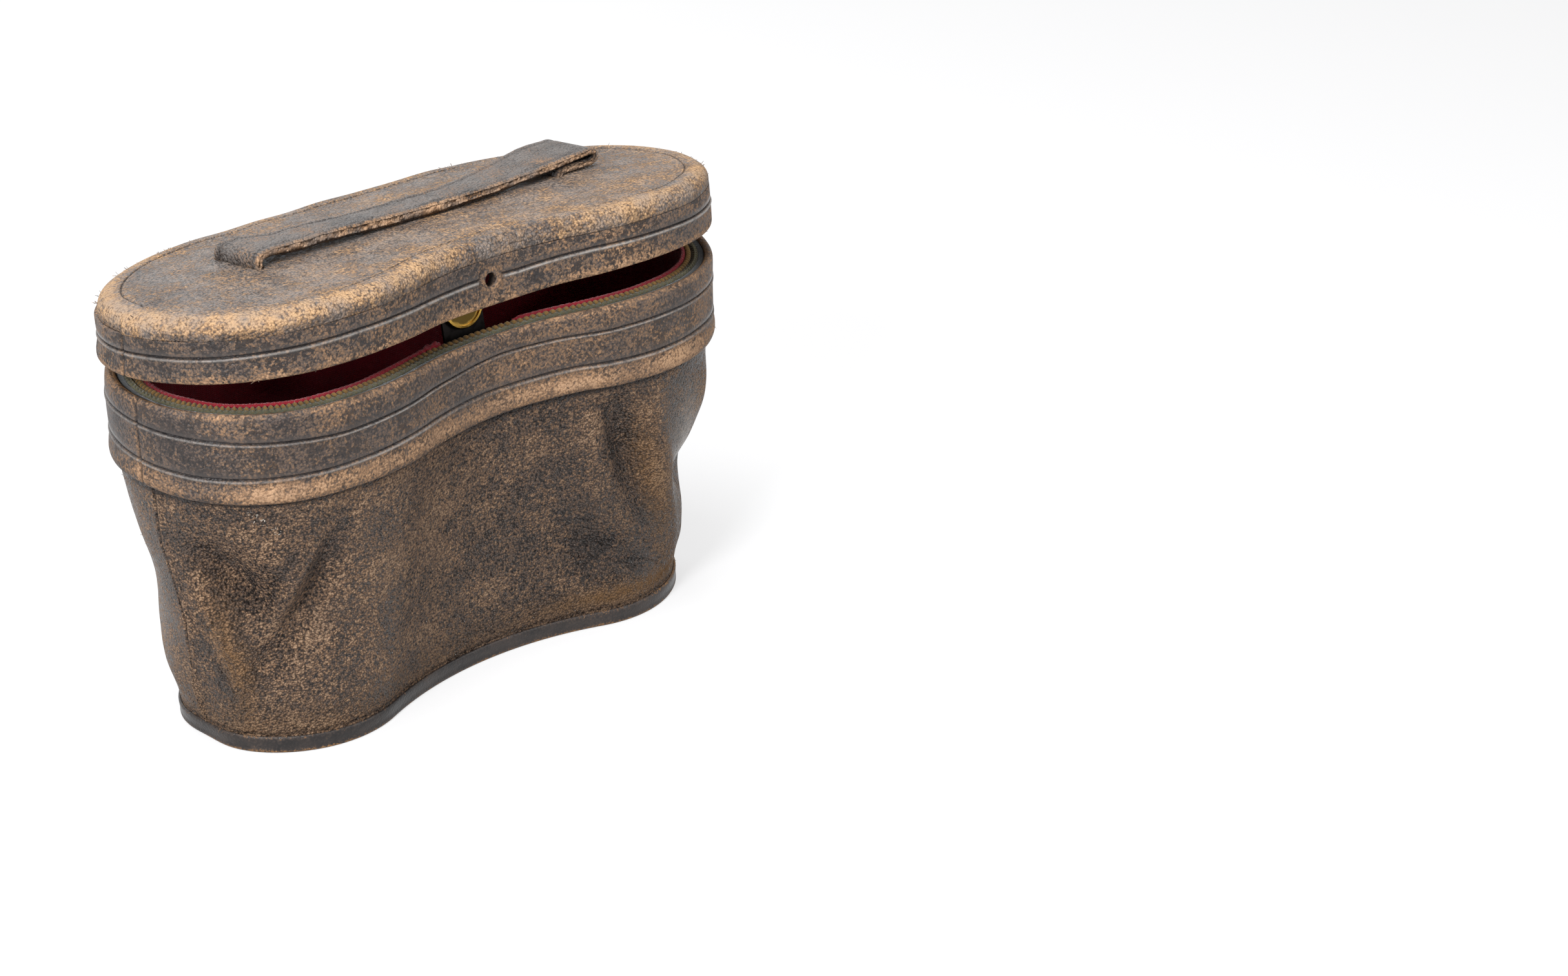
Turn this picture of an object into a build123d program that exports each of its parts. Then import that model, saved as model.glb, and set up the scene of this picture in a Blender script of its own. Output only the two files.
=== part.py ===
"""Kidney-shaped leather case for a pair of opera glasses, standing with its lid ajar.

Millimetres. The origin is the middle of the flat base, +Z is up, +X runs along the case and the
waisted front with the catch faces -Y. The hinge is along the straight back.
"""

import os
from math import cos, radians, sin

from build123d import *

# ---------------------------------------------------------------- driving dimensions: case outline
case_length = 126.0  # outside of the rim, end to end
case_depth = 56.5  # outside of the rim, front of the lobes to the back
rim_height = 68.2  # base to the top of the rim
rim_waist_turn = 19.0  # heading lost along half of the waist, degrees
rim_lobe_radius = 50.0
rim_lobe_turn = 6.7  # heading where the lobe hands over to the end
rim_back_radius = 43.0
rim_back_turn = 135.0  # heading where the end hands over to the back corner

base_length = 109.2
base_depth = 46.4
base_waist_turn = 22.2
base_lobe_radius = 21.7
base_lobe_turn = 45.8
base_back_radius = 40.5
base_back_turn = 128.0

# ---------------------------------------------------------------- driving dimensions: body
band_height = 16.0  # stiff leather band round the mouth
band_leather = 0.9
rim_roll_width = 1.7  # band leather turned over the edge
rim_roll_height = 1.4
rim_roll_round = 0.6  # fillet on both edges of the turned leather
upper_groove_drop = 5.1  # incised lines, below the rim
lower_groove_drop = 11.7
groove_width = 0.5
groove_depth = 0.35
body_leather_thickness = 1.0
hoop_thickness = 3.5  # wooden hoop that stiffens the mouth
hoop_stand = 0.4  # hoop above the foot of the rolled edge
card_thickness = 1.0
wadding_thickness = 0.6  # at the base, filling out to the hoop at the top
lining_thickness = 0.8
edge_trim_height = 0.6  # felt on the hoop's top face
braid_height = 0.75
braid_width = 1.9
welt_radius = 0.75
welt_rise = 0.1  # middle of the welt above the hoop
base_leather_thickness = 1.2
base_board_thickness = 1.8
floor_pad_thickness = 1.6
binding_height = 3.2  # burnished strip round the foot
binding_thickness = 0.5

# ---------------------------------------------------------------- driving dimensions: hollows in the wall
# Each hollow: way along the rim from the middle of the front, height, tilt in degrees, depth, and the
# radii of its bottom lengthwise and crosswise.
hollows = [
    (-59.5, 37.5, -33, 2.9, 137.0, 7.9),
    (-47.0, 22.5, 57, 1.8, 75.0, 10.9),
    (27.5, 35.5, -80, 2.6, 43.0, 8.0),
    (51.0, 24.5, 0, 2.2, 120.0, 9.6),
    (-95.0, 31.0, 0, 1.4, 150.0, 16.0),
    (20.0, 15.5, -30, 1.1, 82.0, 14.7),
]
hollow_turn = 50  # part of the hollow's long circle that is used, degrees
pressed_wadding = 0.3  # left under the deepest hollow

# ---------------------------------------------------------------- driving dimensions: lid
lid_height = 11.3
lid_gap = 0.2  # lid edge above the rim when shut
ajar_angle = 6.4  # lid as it stands
lid_leather = 1.0
lid_hoop_thickness = 1.3
lid_lining = 0.4
lid_board_thickness = 1.8
lid_top_lining_thickness = 0.5
lid_edge_flange = 0.8  # side leather turned in under the hoop
lid_edge_radius = 2.7
lid_top_lap = 3.7  # how far the top leather comes down the side
lid_groove_rise = 4.6  # incised line, above the lid's edge

# ---------------------------------------------------------------- driving dimensions: handle
strap_width = 13.0
strap_thickness = 1.4
strap_centre_y = 4.1
strap_left_slot = -34.0
strap_right_slot = 35.0
strap_loop_end = 44.5  # where the slack strap doubles back
strap_left_gap = 1.5  # under the strap, above the lid top
strap_middle_gap = 0.6
strap_return_gap = 0.05
strap_loop_gap = 0.4  # between the doubled ends of the slack loop
strap_fold_inside = 0.2  # inner radius where the strap turns down
strap_shoulder_radius = 1.6
strap_sag_radius = 40.0
strap_hump_radius = 20.0
strap_wave_share = 0.6  # where the sag begins, from the middle to the slot
strap_tail = 9.0
slot_clearance = 0.15
tack_radius = 0.5
tack_spacing = 6.0
tack_setback = 3.0  # tack to the tail's end

# ---------------------------------------------------------------- driving dimensions: hinge
hinge_width = 36.0
hinge_leaf_thickness = 0.8
hinge_body_leaf_height = 9.0
hinge_lid_leaf_height = 7.2
knuckle_radius = 1.2
knuckle_count = 5
knuckle_gap = 0.3
knuckle_stand_off = 0.15
hinge_pin_radius = 0.6
hinge_pin_clearance = 0.05
hinge_pin_overhang = 0.6
rivet_head_radius = 1.3
rivet_head_height = 0.6
rivet_shank_radius = 0.55
rivet_clearance = 0.02
rivet_spacing = 12.0
rivet_bite = 1.2  # shank into the wooden hoop

# ---------------------------------------------------------------- driving dimensions: catch
catch_travel = 11.0  # leaf swings back from upright, degrees
leaf_width = 9.4
leaf_thickness = 0.5
leaf_pivot_rise = 2.8  # pivot above the foot of the wooden hoop
leaf_foot = 1.2  # leaf below its pivot
leaf_crown = 4.0  # leaf above the middle of the disc
disc_radius = 4.6
disc_thickness = 0.9
disc_dish = 0.35
disc_bead = 0.55
disc_clearance = 0.16  # disc behind the hoop when upright
stud_radius = 0.95
stud_height_in_lid = 3.75  # middle of the stud above the lid's edge when latched
stud_rise = 0.85  # stud above the middle of the disc
stud_proud = 0.15
stud_hole_clearance = 0.35
tail_radius = 1.2  # peened end of the button behind the leaf
tail_head_radius = 2.0
tail_head_height = 0.5
packing_width = 15.0
packing_drop = 2.0  # packing below and above the pivot
packing_rise = 2.4
clamp_thickness = 0.6
clamp_drop = 1.5
clamp_rise = 0.6
leaf_play = 0.3
catch_rivet_radius = 0.8
catch_rivet_head = 1.2
catch_rivet_head_height = 0.4
catch_rivet_spacing = 12.4
catch_rivet_end = 1.0  # wood left in front of the rivet's point
catch_window = 16.0  # gap in the lining and the welt

fit_gap = 0.02  # between pieces that are glued or let in


class Kidney:
    """Outline with a waisted front, round ends and a straight back, centred on the origin."""

    def __init__(self, length, depth, waist_turn, lobe_radius, lobe_turn, back_radius, back_turn):
        self.waist_turn, self.lobe_turn, self.back_turn = waist_turn, lobe_turn, back_turn
        self.lobe_radius, self.back_radius = lobe_radius, back_radius
        waist, lobe, back = radians(waist_turn), radians(lobe_turn), radians(back_turn)
        reach = depth - lobe_radius * (1 - cos(lobe)) - back_radius * (1 + cos(back))
        self.end_radius = reach / (cos(lobe) - cos(back))
        end_reach = self.end_radius * (1 - sin(lobe))
        waist_half = length / 2 - lobe_radius * (sin(lobe) + sin(waist)) - end_reach
        self.waist_radius = waist_half / sin(waist)
        self.back_y = depth / 2
        self.waist_y = (self.waist_radius + lobe_radius) * (1 - cos(waist)) - depth / 2
        self.arcs = [
            (self.waist_radius, -waist_turn),
            (lobe_radius, waist_turn + lobe_turn),
            (self.end_radius, back_turn - lobe_turn),
        ]

    def at(self, number, share):
        """Place and heading on the right half, after a share of one of its arcs."""
        x, y, heading = 0, self.waist_y, 0
        last_radius, last_turn = self.arcs[number]
        for radius, turn in self.arcs[:number] + [(last_radius, last_turn * share)]:
            bend = radius if turn > 0 else -radius
            after = heading + turn
            x += bend * (sin(radians(after)) - sin(radians(heading)))
            y += bend * (cos(radians(heading)) - cos(radians(after)))
            heading = after
        return x, y, heading


rim = Kidney(
    case_length,
    case_depth,
    rim_waist_turn,
    rim_lobe_radius,
    rim_lobe_turn,
    rim_back_radius,
    rim_back_turn,
)
foot = Kidney(
    base_length,
    base_depth,
    base_waist_turn,
    base_lobe_radius,
    base_lobe_turn,
    base_back_radius,
    base_back_turn,
)


def outline(shape, inset):
    """Edges of a kidney outline, moved inwards by inset."""
    waist = JernArc((0, shape.waist_y + inset), (1, 0), shape.waist_radius + inset, -shape.waist_turn)
    lobe = JernArc(waist @ 1, waist % 1, shape.lobe_radius - inset, shape.waist_turn + shape.lobe_turn)
    end = JernArc(lobe @ 1, lobe % 1, shape.end_radius - inset, shape.back_turn - shape.lobe_turn)
    corner = JernArc(end @ 1, end % 1, shape.back_radius - inset, 180 - shape.back_turn)
    Line(corner @ 1, (0, shape.back_y - inset))
    mirror(about=Plane.YZ)


def kidney(shape, inset, mode=Mode.ADD):
    """Filled kidney in the current sketch."""
    with BuildLine() as edge:
        outline(shape, inset)
    make_face(edge.edges(), mode=mode)


def plate(inset, level, height, mode=Mode.ADD):
    """Full-width kidney plate on a level plane, with the rim's outline."""
    with BuildSketch(level) as section:
        kidney(rim, inset)
    extrude(section.sketch, amount=height, mode=mode)


def ring(outer, inner, level, height, mode=Mode.ADD):
    """Wall between two insets of the rim's outline."""
    with BuildSketch(level) as section:
        kidney(rim, outer)
        kidney(rim, inner, mode=Mode.SUBTRACT)
    extrude(section.sketch, amount=height, mode=mode)


def taper(top_inset, foot_inset, mode=Mode.ADD):
    """Solid that narrows from the band's lower edge to the foot."""
    with BuildSketch(Plane.XY) as low:
        kidney(foot, foot_inset)
    with BuildSketch(Plane.XY.offset(band_bottom)) as high:
        kidney(rim, top_inset)
    loft([low.sketch, high.sketch], mode=mode)


def wall_frame(way, height):
    """Frame on the leather's face: x along the case, y up the wall and z outwards."""
    number, rest = 0, abs(way)
    lengths = [radius * radians(abs(turn)) for radius, turn in rim.arcs]
    while rest > lengths[number]:
        rest -= lengths[number]
        number += 1
    upper_x, upper_y, heading = rim.at(number, rest / lengths[number])
    lower_x, lower_y, _ = foot.at(number, rest / lengths[number])
    side = 1 if way > 0 else -1
    outward = Vector(sin(radians(heading)), -cos(radians(heading)), 0)
    upper = Vector(upper_x, upper_y, band_bottom) - outward * band_leather
    lower = Vector(lower_x, lower_y, 0) - outward * leather_foot
    place = lower + (upper - lower) * (height / band_bottom)
    along = Vector(cos(radians(heading)), sin(radians(heading)), 0)
    facing = along.cross(upper - lower)
    origin = (side * place.X, place.Y, place.Z)
    x_dir = (along.X, side * along.Y, 0)
    return Plane(origin, x_dir=x_dir, z_dir=(side * facing.X, facing.Y, facing.Z)).location


def press_hollows(skin):
    """Press the hollows into a layer that lies skin under the leather's face."""
    for way, height, tilt, depth, long_radius, cross_radius in hollows:
        turned = wall_frame(way, height) * Location((0, 0, 0), (0, 0, tilt))
        centre = turned * Location((0, 0, long_radius - depth), (-90, 0, 0))
        start = centre * Location((0, 0, 0), (0, 0, 90 - hollow_turn / 2))
        with Locations(start):
            Torus(long_radius - cross_radius, cross_radius + skin, major_angle=hollow_turn, mode=Mode.SUBTRACT)


def hollowed(top_inset, foot_inset, skin, mode=Mode.ADD):
    """Solid from the foot to the band, with the wall's hollows."""
    with BuildPart() as core:
        taper(top_inset, foot_inset)
        press_hollows(skin)
    add(core.part, mode=mode)


def keep_between(bottom, top):
    """Cut away all that lies outside two heights."""
    with BuildSketch(Plane.XY.offset(bottom)) as slab:
        Rectangle(2 * case_length, 2 * case_length)
    extrude(slab.sketch, amount=top - bottom, mode=Mode.INTERSECT)


def bars(plane, places, radius, depth, mode=Mode.ADD):
    """Round bars, or holes, from a plane."""
    with BuildSketch(plane) as section:
        with Locations(*places):
            Circle(radius)
    extrude(section.sketch, amount=depth, mode=mode)


# ---------------------------------------------------------------- levels and insets of the body
band_bottom = rim_height - band_height
hoop_outer = band_leather + body_leather_thickness
hoop_inner = hoop_outer + hoop_thickness
hoop_top = rim_height - rim_roll_height + hoop_stand
lining_inner = hoop_inner + lining_thickness
leather_foot = binding_thickness
card_foot = leather_foot + body_leather_thickness
wadding_foot = card_foot + card_thickness
lining_foot = wadding_foot + wadding_thickness
floor_level = base_leather_thickness + base_board_thickness
braid_outer = hoop_inner - braid_width
welt_inset = hoop_inner + welt_radius
welt_height = hoop_top + welt_rise
lining_top = welt_height - welt_radius
card_skin = body_leather_thickness
wadding_skin = card_skin + card_thickness
lining_skin = wadding_skin + pressed_wadding

# ---------------------------------------------------------------- hinge line and the ajar lid's frame
hinge_y = rim.back_y + knuckle_radius + knuckle_stand_off
hinge_z = rim_height + lid_gap / 2
still = Location((0, 0, 0))
rivet_hole_radius = rivet_shank_radius + rivet_clearance
lid_frame = Location((0, hinge_y, hinge_z), (-ajar_angle, 0, 0)) * Location((0, -hinge_y, -hinge_z))
lid_edge = rim_height + lid_gap
lid_top = lid_edge + lid_height
board_top = lid_top - lid_leather
board_bottom = board_top - lid_board_thickness
lid_ceiling = board_bottom - lid_top_lining_thickness
lid_hoop_inner = lid_leather + lid_hoop_thickness
lid_lining_inner = lid_hoop_inner + lid_lining
lap_level = lid_top - lid_top_lap
lid_groove = lid_edge + lid_groove_rise


def lid_level(height):
    """Level plane of the shut lid at a height, carried round the hinge to where the lid stands."""
    return Plane(lid_frame * Location((0, 0, height)))


# ---------------------------------------------------------------- catch places
hoop_face_y = rim.waist_y + hoop_inner
leaf_front_y = hoop_face_y + disc_clearance + disc_thickness
leaf_back_y = leaf_front_y + leaf_thickness
clamp_back_y = leaf_back_y + leaf_play + clamp_thickness
pivot_y = leaf_front_y + leaf_thickness / 2
leaf_pivot_height = band_bottom + leaf_pivot_rise
packing_thickness = leaf_front_y - leaf_play - hoop_face_y
stud_height = lid_edge + stud_height_in_lid
disc_height = stud_height - stud_rise
disc_face_y = leaf_front_y - disc_thickness
stud_tip_y = rim.waist_y - stud_proud
catch_frame = Location((0, pivot_y, leaf_pivot_height), (-catch_travel, 0, 0)) * Location(
    (0, -pivot_y, -leaf_pivot_height)
)
catch_hole_radius = catch_rivet_radius + rivet_clearance
hoop_bite = hoop_thickness - catch_rivet_end
catch_rivet_places = [(side * catch_rivet_spacing / 2, leaf_pivot_height) for side in (-1, 1)]

# ---------------------------------------------------------------- hinge places
knuckle_length = (hinge_width - (knuckle_count - 1) * knuckle_gap) / knuckle_count
knuckle_starts = [i * (knuckle_length + knuckle_gap) - hinge_width / 2 for i in range(knuckle_count)]
rivet_rows = [side * rivet_spacing for side in (-1, 0, 1)]
body_rivet_z = hinge_z - hinge_body_leaf_height / 2 - knuckle_radius / 2
lid_rivet_z = hinge_z + hinge_lid_leaf_height / 2 + knuckle_radius / 2
leaf_outside_y = rim.back_y + hinge_leaf_thickness
body_rivet_grip = hoop_outer + rivet_bite
lid_rivet_grip = lid_leather + lid_hoop_thickness


def facing_front(frame, y):
    """Upright plane that faces the front, with x across and y up, carried by a frame."""
    return Plane(frame * Plane((0, y, 0), x_dir=(1, 0, 0), z_dir=(0, -1, 0)).location)


def facing_back(frame, y):
    """Upright plane that faces the back, carried by a frame."""
    return Plane(frame * Plane((0, y, 0), x_dir=(-1, 0, 0), z_dir=(0, 1, 0)).location)


def towards_back(frame):
    """Axis towards the back, carried by a frame."""
    return Axis(facing_back(frame, 0).origin, facing_back(frame, 0).z_dir)


def hinge_leaf(frame, side, starts, height, rivet_z, pin_gap):
    """Flat leaf on the back, with its knuckles; side is 1 above the pin and -1 below it."""
    inner_face = -(knuckle_radius + knuckle_stand_off)
    leaf_middle = inner_face + hinge_leaf_thickness / 2
    leaf_start = knuckle_radius + knuckle_gap
    leaf_length = height - leaf_start
    along = Plane((-hinge_width / 2, hinge_y, hinge_z), x_dir=(0, 1, 0), z_dir=(1, 0, 0))
    with BuildSketch(Plane(frame * along.location)) as section:
        with Locations((leaf_middle, side * (leaf_start + leaf_length / 2))):
            Rectangle(hinge_leaf_thickness, leaf_length)
    extrude(section.sketch, amount=hinge_width)
    for start in starts:
        along = Plane((start, hinge_y, hinge_z), x_dir=(0, 1, 0), z_dir=(1, 0, 0))
        with BuildSketch(Plane(frame * along.location)) as section:
            Circle(knuckle_radius)
            with Locations((leaf_middle, side * leaf_start / 2)):
                Rectangle(hinge_leaf_thickness, leaf_start)
            Circle(hinge_pin_radius + pin_gap, mode=Mode.SUBTRACT)
        extrude(section.sketch, amount=knuckle_length)
    holes = [(x, rivet_z) for x in rivet_rows]
    bars(facing_front(frame, leaf_outside_y), holes, rivet_hole_radius, hinge_leaf_thickness, Mode.SUBTRACT)


def hinge_rivets(frame, rivet_z, grip):
    """Domed rivets through a leaf and the leather behind it."""
    places = [(x, rivet_z) for x in rivet_rows]
    bars(facing_back(frame, leaf_outside_y), places, rivet_head_radius, rivet_head_height)
    heads = faces().sort_by(towards_back(frame))[-len(places) :]
    fillet(heads.edges(), rivet_head_height * 0.8)
    bars(facing_front(frame, leaf_outside_y), places, rivet_shank_radius, hinge_leaf_thickness + grip)


def rivet_holes(frame, rivet_z, grip):
    """Holes for the hinge rivets behind the leather's back face."""
    places = [(x, rivet_z) for x in rivet_rows]
    bars(facing_front(frame, rim.back_y), places, rivet_hole_radius, grip + fit_gap, Mode.SUBTRACT)


def open_window(bottom, top):
    """Clear the catch's window through the lining."""
    window_depth = 2 * welt_radius + catch_window / 2
    with BuildSketch(facing_back(still, hoop_face_y - fit_gap - catch_window / 4)) as opening:
        with Locations((0, bottom)):
            Rectangle(catch_window, top - bottom, align=(Align.CENTER, Align.MIN))
    extrude(opening.sketch, amount=window_depth, mode=Mode.SUBTRACT)


# ================================================================ body
with BuildPart() as body_leather:
    hollowed(band_leather, leather_foot, 0)
    hollowed(hoop_outer, card_foot, card_skin, mode=Mode.SUBTRACT)
    ring(band_leather, hoop_outer, Plane.XY.offset(band_bottom), band_height - rim_roll_height)
    rivet_holes(still, body_rivet_z, body_rivet_grip)

with BuildPart() as rim_band:
    ring(0, band_leather, Plane.XY.offset(band_bottom), band_height - rim_roll_height)
    ring(0, rim_roll_width, Plane.XY.offset(rim_height - rim_roll_height), rim_roll_height)
    fillet(rim_band.edges().filter_by(GeomType.LINE, reverse=True).group_by(Axis.Z)[-1], rim_roll_round)
    for drop in (upper_groove_drop, lower_groove_drop):
        level = Plane.XY.offset(rim_height - drop - groove_width / 2)
        ring(-groove_depth, groove_depth, level, groove_width, mode=Mode.SUBTRACT)
    rivet_holes(still, body_rivet_z, body_rivet_grip)

with BuildPart() as rim_hoop:
    ring(hoop_outer, hoop_inner, Plane.XY.offset(band_bottom), hoop_top - band_bottom)
    rivet_holes(still, body_rivet_z, body_rivet_grip)
    bars(facing_front(still, hoop_face_y), catch_rivet_places, catch_hole_radius, hoop_bite, Mode.SUBTRACT)

with BuildPart() as edge_felt:
    ring(hoop_outer, braid_outer, Plane.XY.offset(hoop_top), edge_trim_height)

with BuildPart() as rim_braid:
    ring(braid_outer + fit_gap, hoop_inner, Plane.XY.offset(hoop_top), braid_height)

with BuildPart() as body_card:
    hollowed(hoop_outer, card_foot, card_skin)
    hollowed(hoop_outer + card_thickness, wadding_foot, wadding_skin, mode=Mode.SUBTRACT)
    keep_between(floor_level, band_bottom)

with BuildPart() as body_wadding:
    hollowed(hoop_outer + card_thickness, wadding_foot, wadding_skin)
    hollowed(hoop_inner, lining_foot, lining_skin, mode=Mode.SUBTRACT)
    keep_between(floor_level, band_bottom)

with BuildPart() as body_lining:
    hollowed(hoop_inner, lining_foot, lining_skin)
    hollowed(lining_inner, lining_foot + lining_thickness, lining_skin + lining_thickness, mode=Mode.SUBTRACT)
    keep_between(floor_level, band_bottom)
    ring(hoop_inner, lining_inner, Plane.XY.offset(band_bottom), lining_top - band_bottom)
    open_window(band_bottom, rim_height)

with BuildPart() as lining_welt:
    with BuildLine(Plane.XY.offset(welt_height)) as welt_line:
        outline(rim, welt_inset)
    with BuildSketch(Plane((0, rim.waist_y + welt_inset, welt_height), z_dir=(1, 0, 0))):
        Circle(welt_radius)
    sweep()
    open_window(band_bottom, rim_height)

with BuildPart() as floor_pad:
    taper(lining_inner, lining_foot + lining_thickness)
    keep_between(floor_level, floor_level + floor_pad_thickness)

with BuildPart() as base_board:
    taper(hoop_outer, card_foot)
    keep_between(base_leather_thickness, floor_level)

with BuildPart() as base_leather:
    taper(hoop_outer, card_foot)
    keep_between(0, base_leather_thickness)

with BuildPart() as base_binding:
    taper(band_leather - binding_thickness, 0)
    taper(band_leather, leather_foot, mode=Mode.SUBTRACT)
    keep_between(0, binding_height)

# ================================================================ hinge
with BuildPart() as hinge_leaf_body:
    hinge_leaf(still, -1, knuckle_starts[::2], hinge_body_leaf_height, body_rivet_z, fit_gap)

with BuildPart() as hinge_leaf_lid:
    hinge_leaf(lid_frame, 1, knuckle_starts[1::2], hinge_lid_leaf_height, lid_rivet_z, hinge_pin_clearance)

with BuildPart() as hinge_pin:
    pin_start = hinge_width / 2 + hinge_pin_overhang
    with BuildSketch(Plane((-pin_start, hinge_y, hinge_z), z_dir=(1, 0, 0))) as section:
        Circle(hinge_pin_radius)
    extrude(section.sketch, amount=2 * pin_start)
    fillet(hinge_pin.edges().filter_by(GeomType.CIRCLE), hinge_pin_radius / 2)

with BuildPart() as hinge_rivets_body:
    hinge_rivets(still, body_rivet_z, body_rivet_grip)

with BuildPart() as hinge_rivets_lid:
    hinge_rivets(lid_frame, lid_rivet_z, lid_rivet_grip)

# ================================================================ catch
with BuildPart() as catch_packing:
    with BuildSketch(facing_back(still, hoop_face_y)) as section:
        with Locations((0, leaf_pivot_height - packing_drop)):
            Rectangle(packing_width, packing_drop + packing_rise, align=(Align.CENTER, Align.MIN))
    extrude(section.sketch, amount=packing_thickness)
    hole_depth = leaf_front_y - hoop_face_y
    packing_front = facing_front(still, leaf_front_y)
    bars(packing_front, catch_rivet_places, catch_hole_radius, hole_depth, Mode.SUBTRACT)

with BuildPart() as catch_clamp:
    with BuildSketch(facing_front(still, clamp_back_y)) as section:
        with Locations((0, leaf_pivot_height - clamp_drop)):
            Rectangle(packing_width, clamp_drop + clamp_rise, align=(Align.CENTER, Align.MIN))
    extrude(section.sketch, amount=clamp_thickness)
    fillet(catch_clamp.edges().filter_by(Axis.Y), clamp_rise / 2)
    clamp_back = facing_front(still, clamp_back_y)
    bars(clamp_back, catch_rivet_places, catch_hole_radius, clamp_thickness, Mode.SUBTRACT)

with BuildPart() as catch_rivets:
    bars(facing_back(still, clamp_back_y), catch_rivet_places, catch_rivet_head, catch_rivet_head_height)
    fillet(catch_rivets.faces().sort_by(Axis.Y)[-2:].edges(), catch_rivet_head_height / 2)
    reach = clamp_back_y - hoop_face_y + hoop_bite - fit_gap
    bars(facing_front(still, clamp_back_y), catch_rivet_places, catch_rivet_radius, reach)

with BuildPart() as catch_spring:
    with BuildSketch(facing_front(catch_frame, leaf_back_y)) as section:
        with Locations((0, leaf_pivot_height - leaf_foot)):
            spring_length = disc_height + leaf_crown - leaf_pivot_height + leaf_foot
            Rectangle(leaf_width, spring_length, align=(Align.CENTER, Align.MIN))
        fillet(section.vertices().group_by(Axis.Y)[-1], leaf_width / 3)
        with Locations((0, disc_height)):
            Circle(tail_radius + rivet_clearance, mode=Mode.SUBTRACT)
    extrude(section.sketch, amount=leaf_thickness)

with BuildPart() as catch_button:
    bars(facing_front(catch_frame, leaf_front_y), [(0, disc_height)], disc_radius, disc_thickness)
    dish_plane = facing_back(catch_frame, disc_face_y)
    bars(dish_plane, [(0, disc_height)], disc_radius - disc_bead, disc_dish, Mode.SUBTRACT)
    fillet(catch_button.edges().filter_by(GeomType.CIRCLE).group_by(SortBy.RADIUS)[-1], disc_dish / 2)
    stud_root = facing_front(catch_frame, disc_face_y + disc_dish)
    bars(stud_root, [(0, stud_height)], stud_radius, disc_face_y + disc_dish - stud_tip_y)
    stud_tip = catch_button.edges().filter_by(GeomType.CIRCLE).sort_by(towards_back(catch_frame))[0]
    fillet(stud_tip, stud_radius * 0.9)
    bars(facing_back(catch_frame, leaf_front_y), [(0, disc_height)], tail_radius, leaf_thickness)
    bars(facing_back(catch_frame, leaf_back_y), [(0, disc_height)], tail_head_radius, tail_head_height)

# ================================================================ lid
lid_up = Axis(lid_level(0).origin, lid_level(0).z_dir)
stud_hole = stud_radius + stud_hole_clearance
stud_hole_plane = facing_front(lid_frame, rim.waist_y + lid_lining_inner + 1)
stud_hole_length = lid_lining_inner + 2


def stud_bore():
    """Hole for the stud through the front of the lid."""
    bars(stud_hole_plane, [(0, stud_height)], stud_hole, stud_hole_length, Mode.SUBTRACT)


tack_x = [strap_left_slot + strap_tail - tack_setback, strap_right_slot - strap_tail + tack_setback]
tack_places = [(x, strap_centre_y + side * tack_spacing / 2) for x in tack_x for side in (-1, 1)]
tack_hole = tack_radius + rivet_clearance


def strap_opening(bottom, top, reach):
    """Cut the strap's two slots, or the rebates for its tails, towards the lid's middle."""
    for slot, inwards in ((strap_left_slot, 1), (strap_right_slot, -1)):
        near = slot - inwards * (strap_thickness / 2 + slot_clearance)
        far = slot + inwards * (reach + slot_clearance)
        with BuildSketch(lid_level(bottom)) as section:
            with Locations(((near + far) / 2, strap_centre_y)):
                Rectangle(abs(far - near), strap_width + 2 * slot_clearance)
        extrude(section.sketch, amount=top - bottom, mode=Mode.SUBTRACT)


with BuildPart() as lid_side_leather:
    ring(0, lid_leather, lid_level(lid_edge), lap_level - lid_edge)
    ring(0, lid_hoop_inner, lid_level(lid_edge), lid_edge_flange)
    ring(-groove_depth, groove_depth, lid_level(lid_groove - groove_width / 2), groove_width, Mode.SUBTRACT)
    stud_bore()
    rivet_holes(lid_frame, lid_rivet_z, lid_rivet_grip)

with BuildPart() as lid_hoop:
    flange_top = lid_edge + lid_edge_flange
    ring(lid_leather, lid_hoop_inner, lid_level(flange_top), board_bottom - flange_top)
    stud_bore()
    rivet_holes(lid_frame, lid_rivet_z, lid_rivet_grip)

with BuildPart() as lid_wall_lining:
    lining_edge = lid_edge + lid_lining
    ring(lid_hoop_inner, lid_lining_inner, lid_level(lining_edge), lid_ceiling - lining_edge)
    stud_bore()

with BuildPart() as lid_top_lining:
    plate(lid_hoop_inner, lid_level(lid_ceiling), lid_top_lining_thickness)

with BuildPart() as lid_board:
    plate(lid_leather, lid_level(board_bottom), lid_board_thickness)
    board_edge = lid_board.edges().filter_by(GeomType.CIRCLE).group_by(lid_up)[-1]
    fillet(board_edge, lid_edge_radius - lid_leather)
    strap_opening(board_bottom, board_top, strap_thickness / 2)
    strap_opening(board_bottom, board_bottom + strap_thickness + slot_clearance, strap_tail)
    bars(lid_level(board_bottom), tack_places, tack_hole, lid_board_thickness, Mode.SUBTRACT)

with BuildPart() as lid_top_leather:
    plate(0, lid_level(lap_level), lid_top - lap_level)
    plate(lid_leather, lid_level(lap_level), board_top - lap_level, Mode.SUBTRACT)
    inner_edge = lid_top_leather.edges().filter_by(GeomType.CIRCLE).group_by(lid_up)[1]
    fillet(inner_edge, lid_edge_radius - lid_leather)
    outer_edge = lid_top_leather.edges().filter_by(GeomType.CIRCLE).group_by(lid_up)[-1]
    fillet(outer_edge, lid_edge_radius)
    strap_opening(board_top, lid_top, strap_thickness / 2)

half_strap = strap_thickness / 2
strap_fold = half_strap + strap_fold_inside
tail_level = board_bottom + half_strap
left_level = lid_top + strap_left_gap + half_strap
middle_level = lid_top + strap_middle_gap + half_strap
return_level = lid_top + strap_return_gap + half_strap
loop_level = return_level + strap_thickness + strap_loop_gap
loop_radius = 0.47 * (loop_level - return_level)

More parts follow.
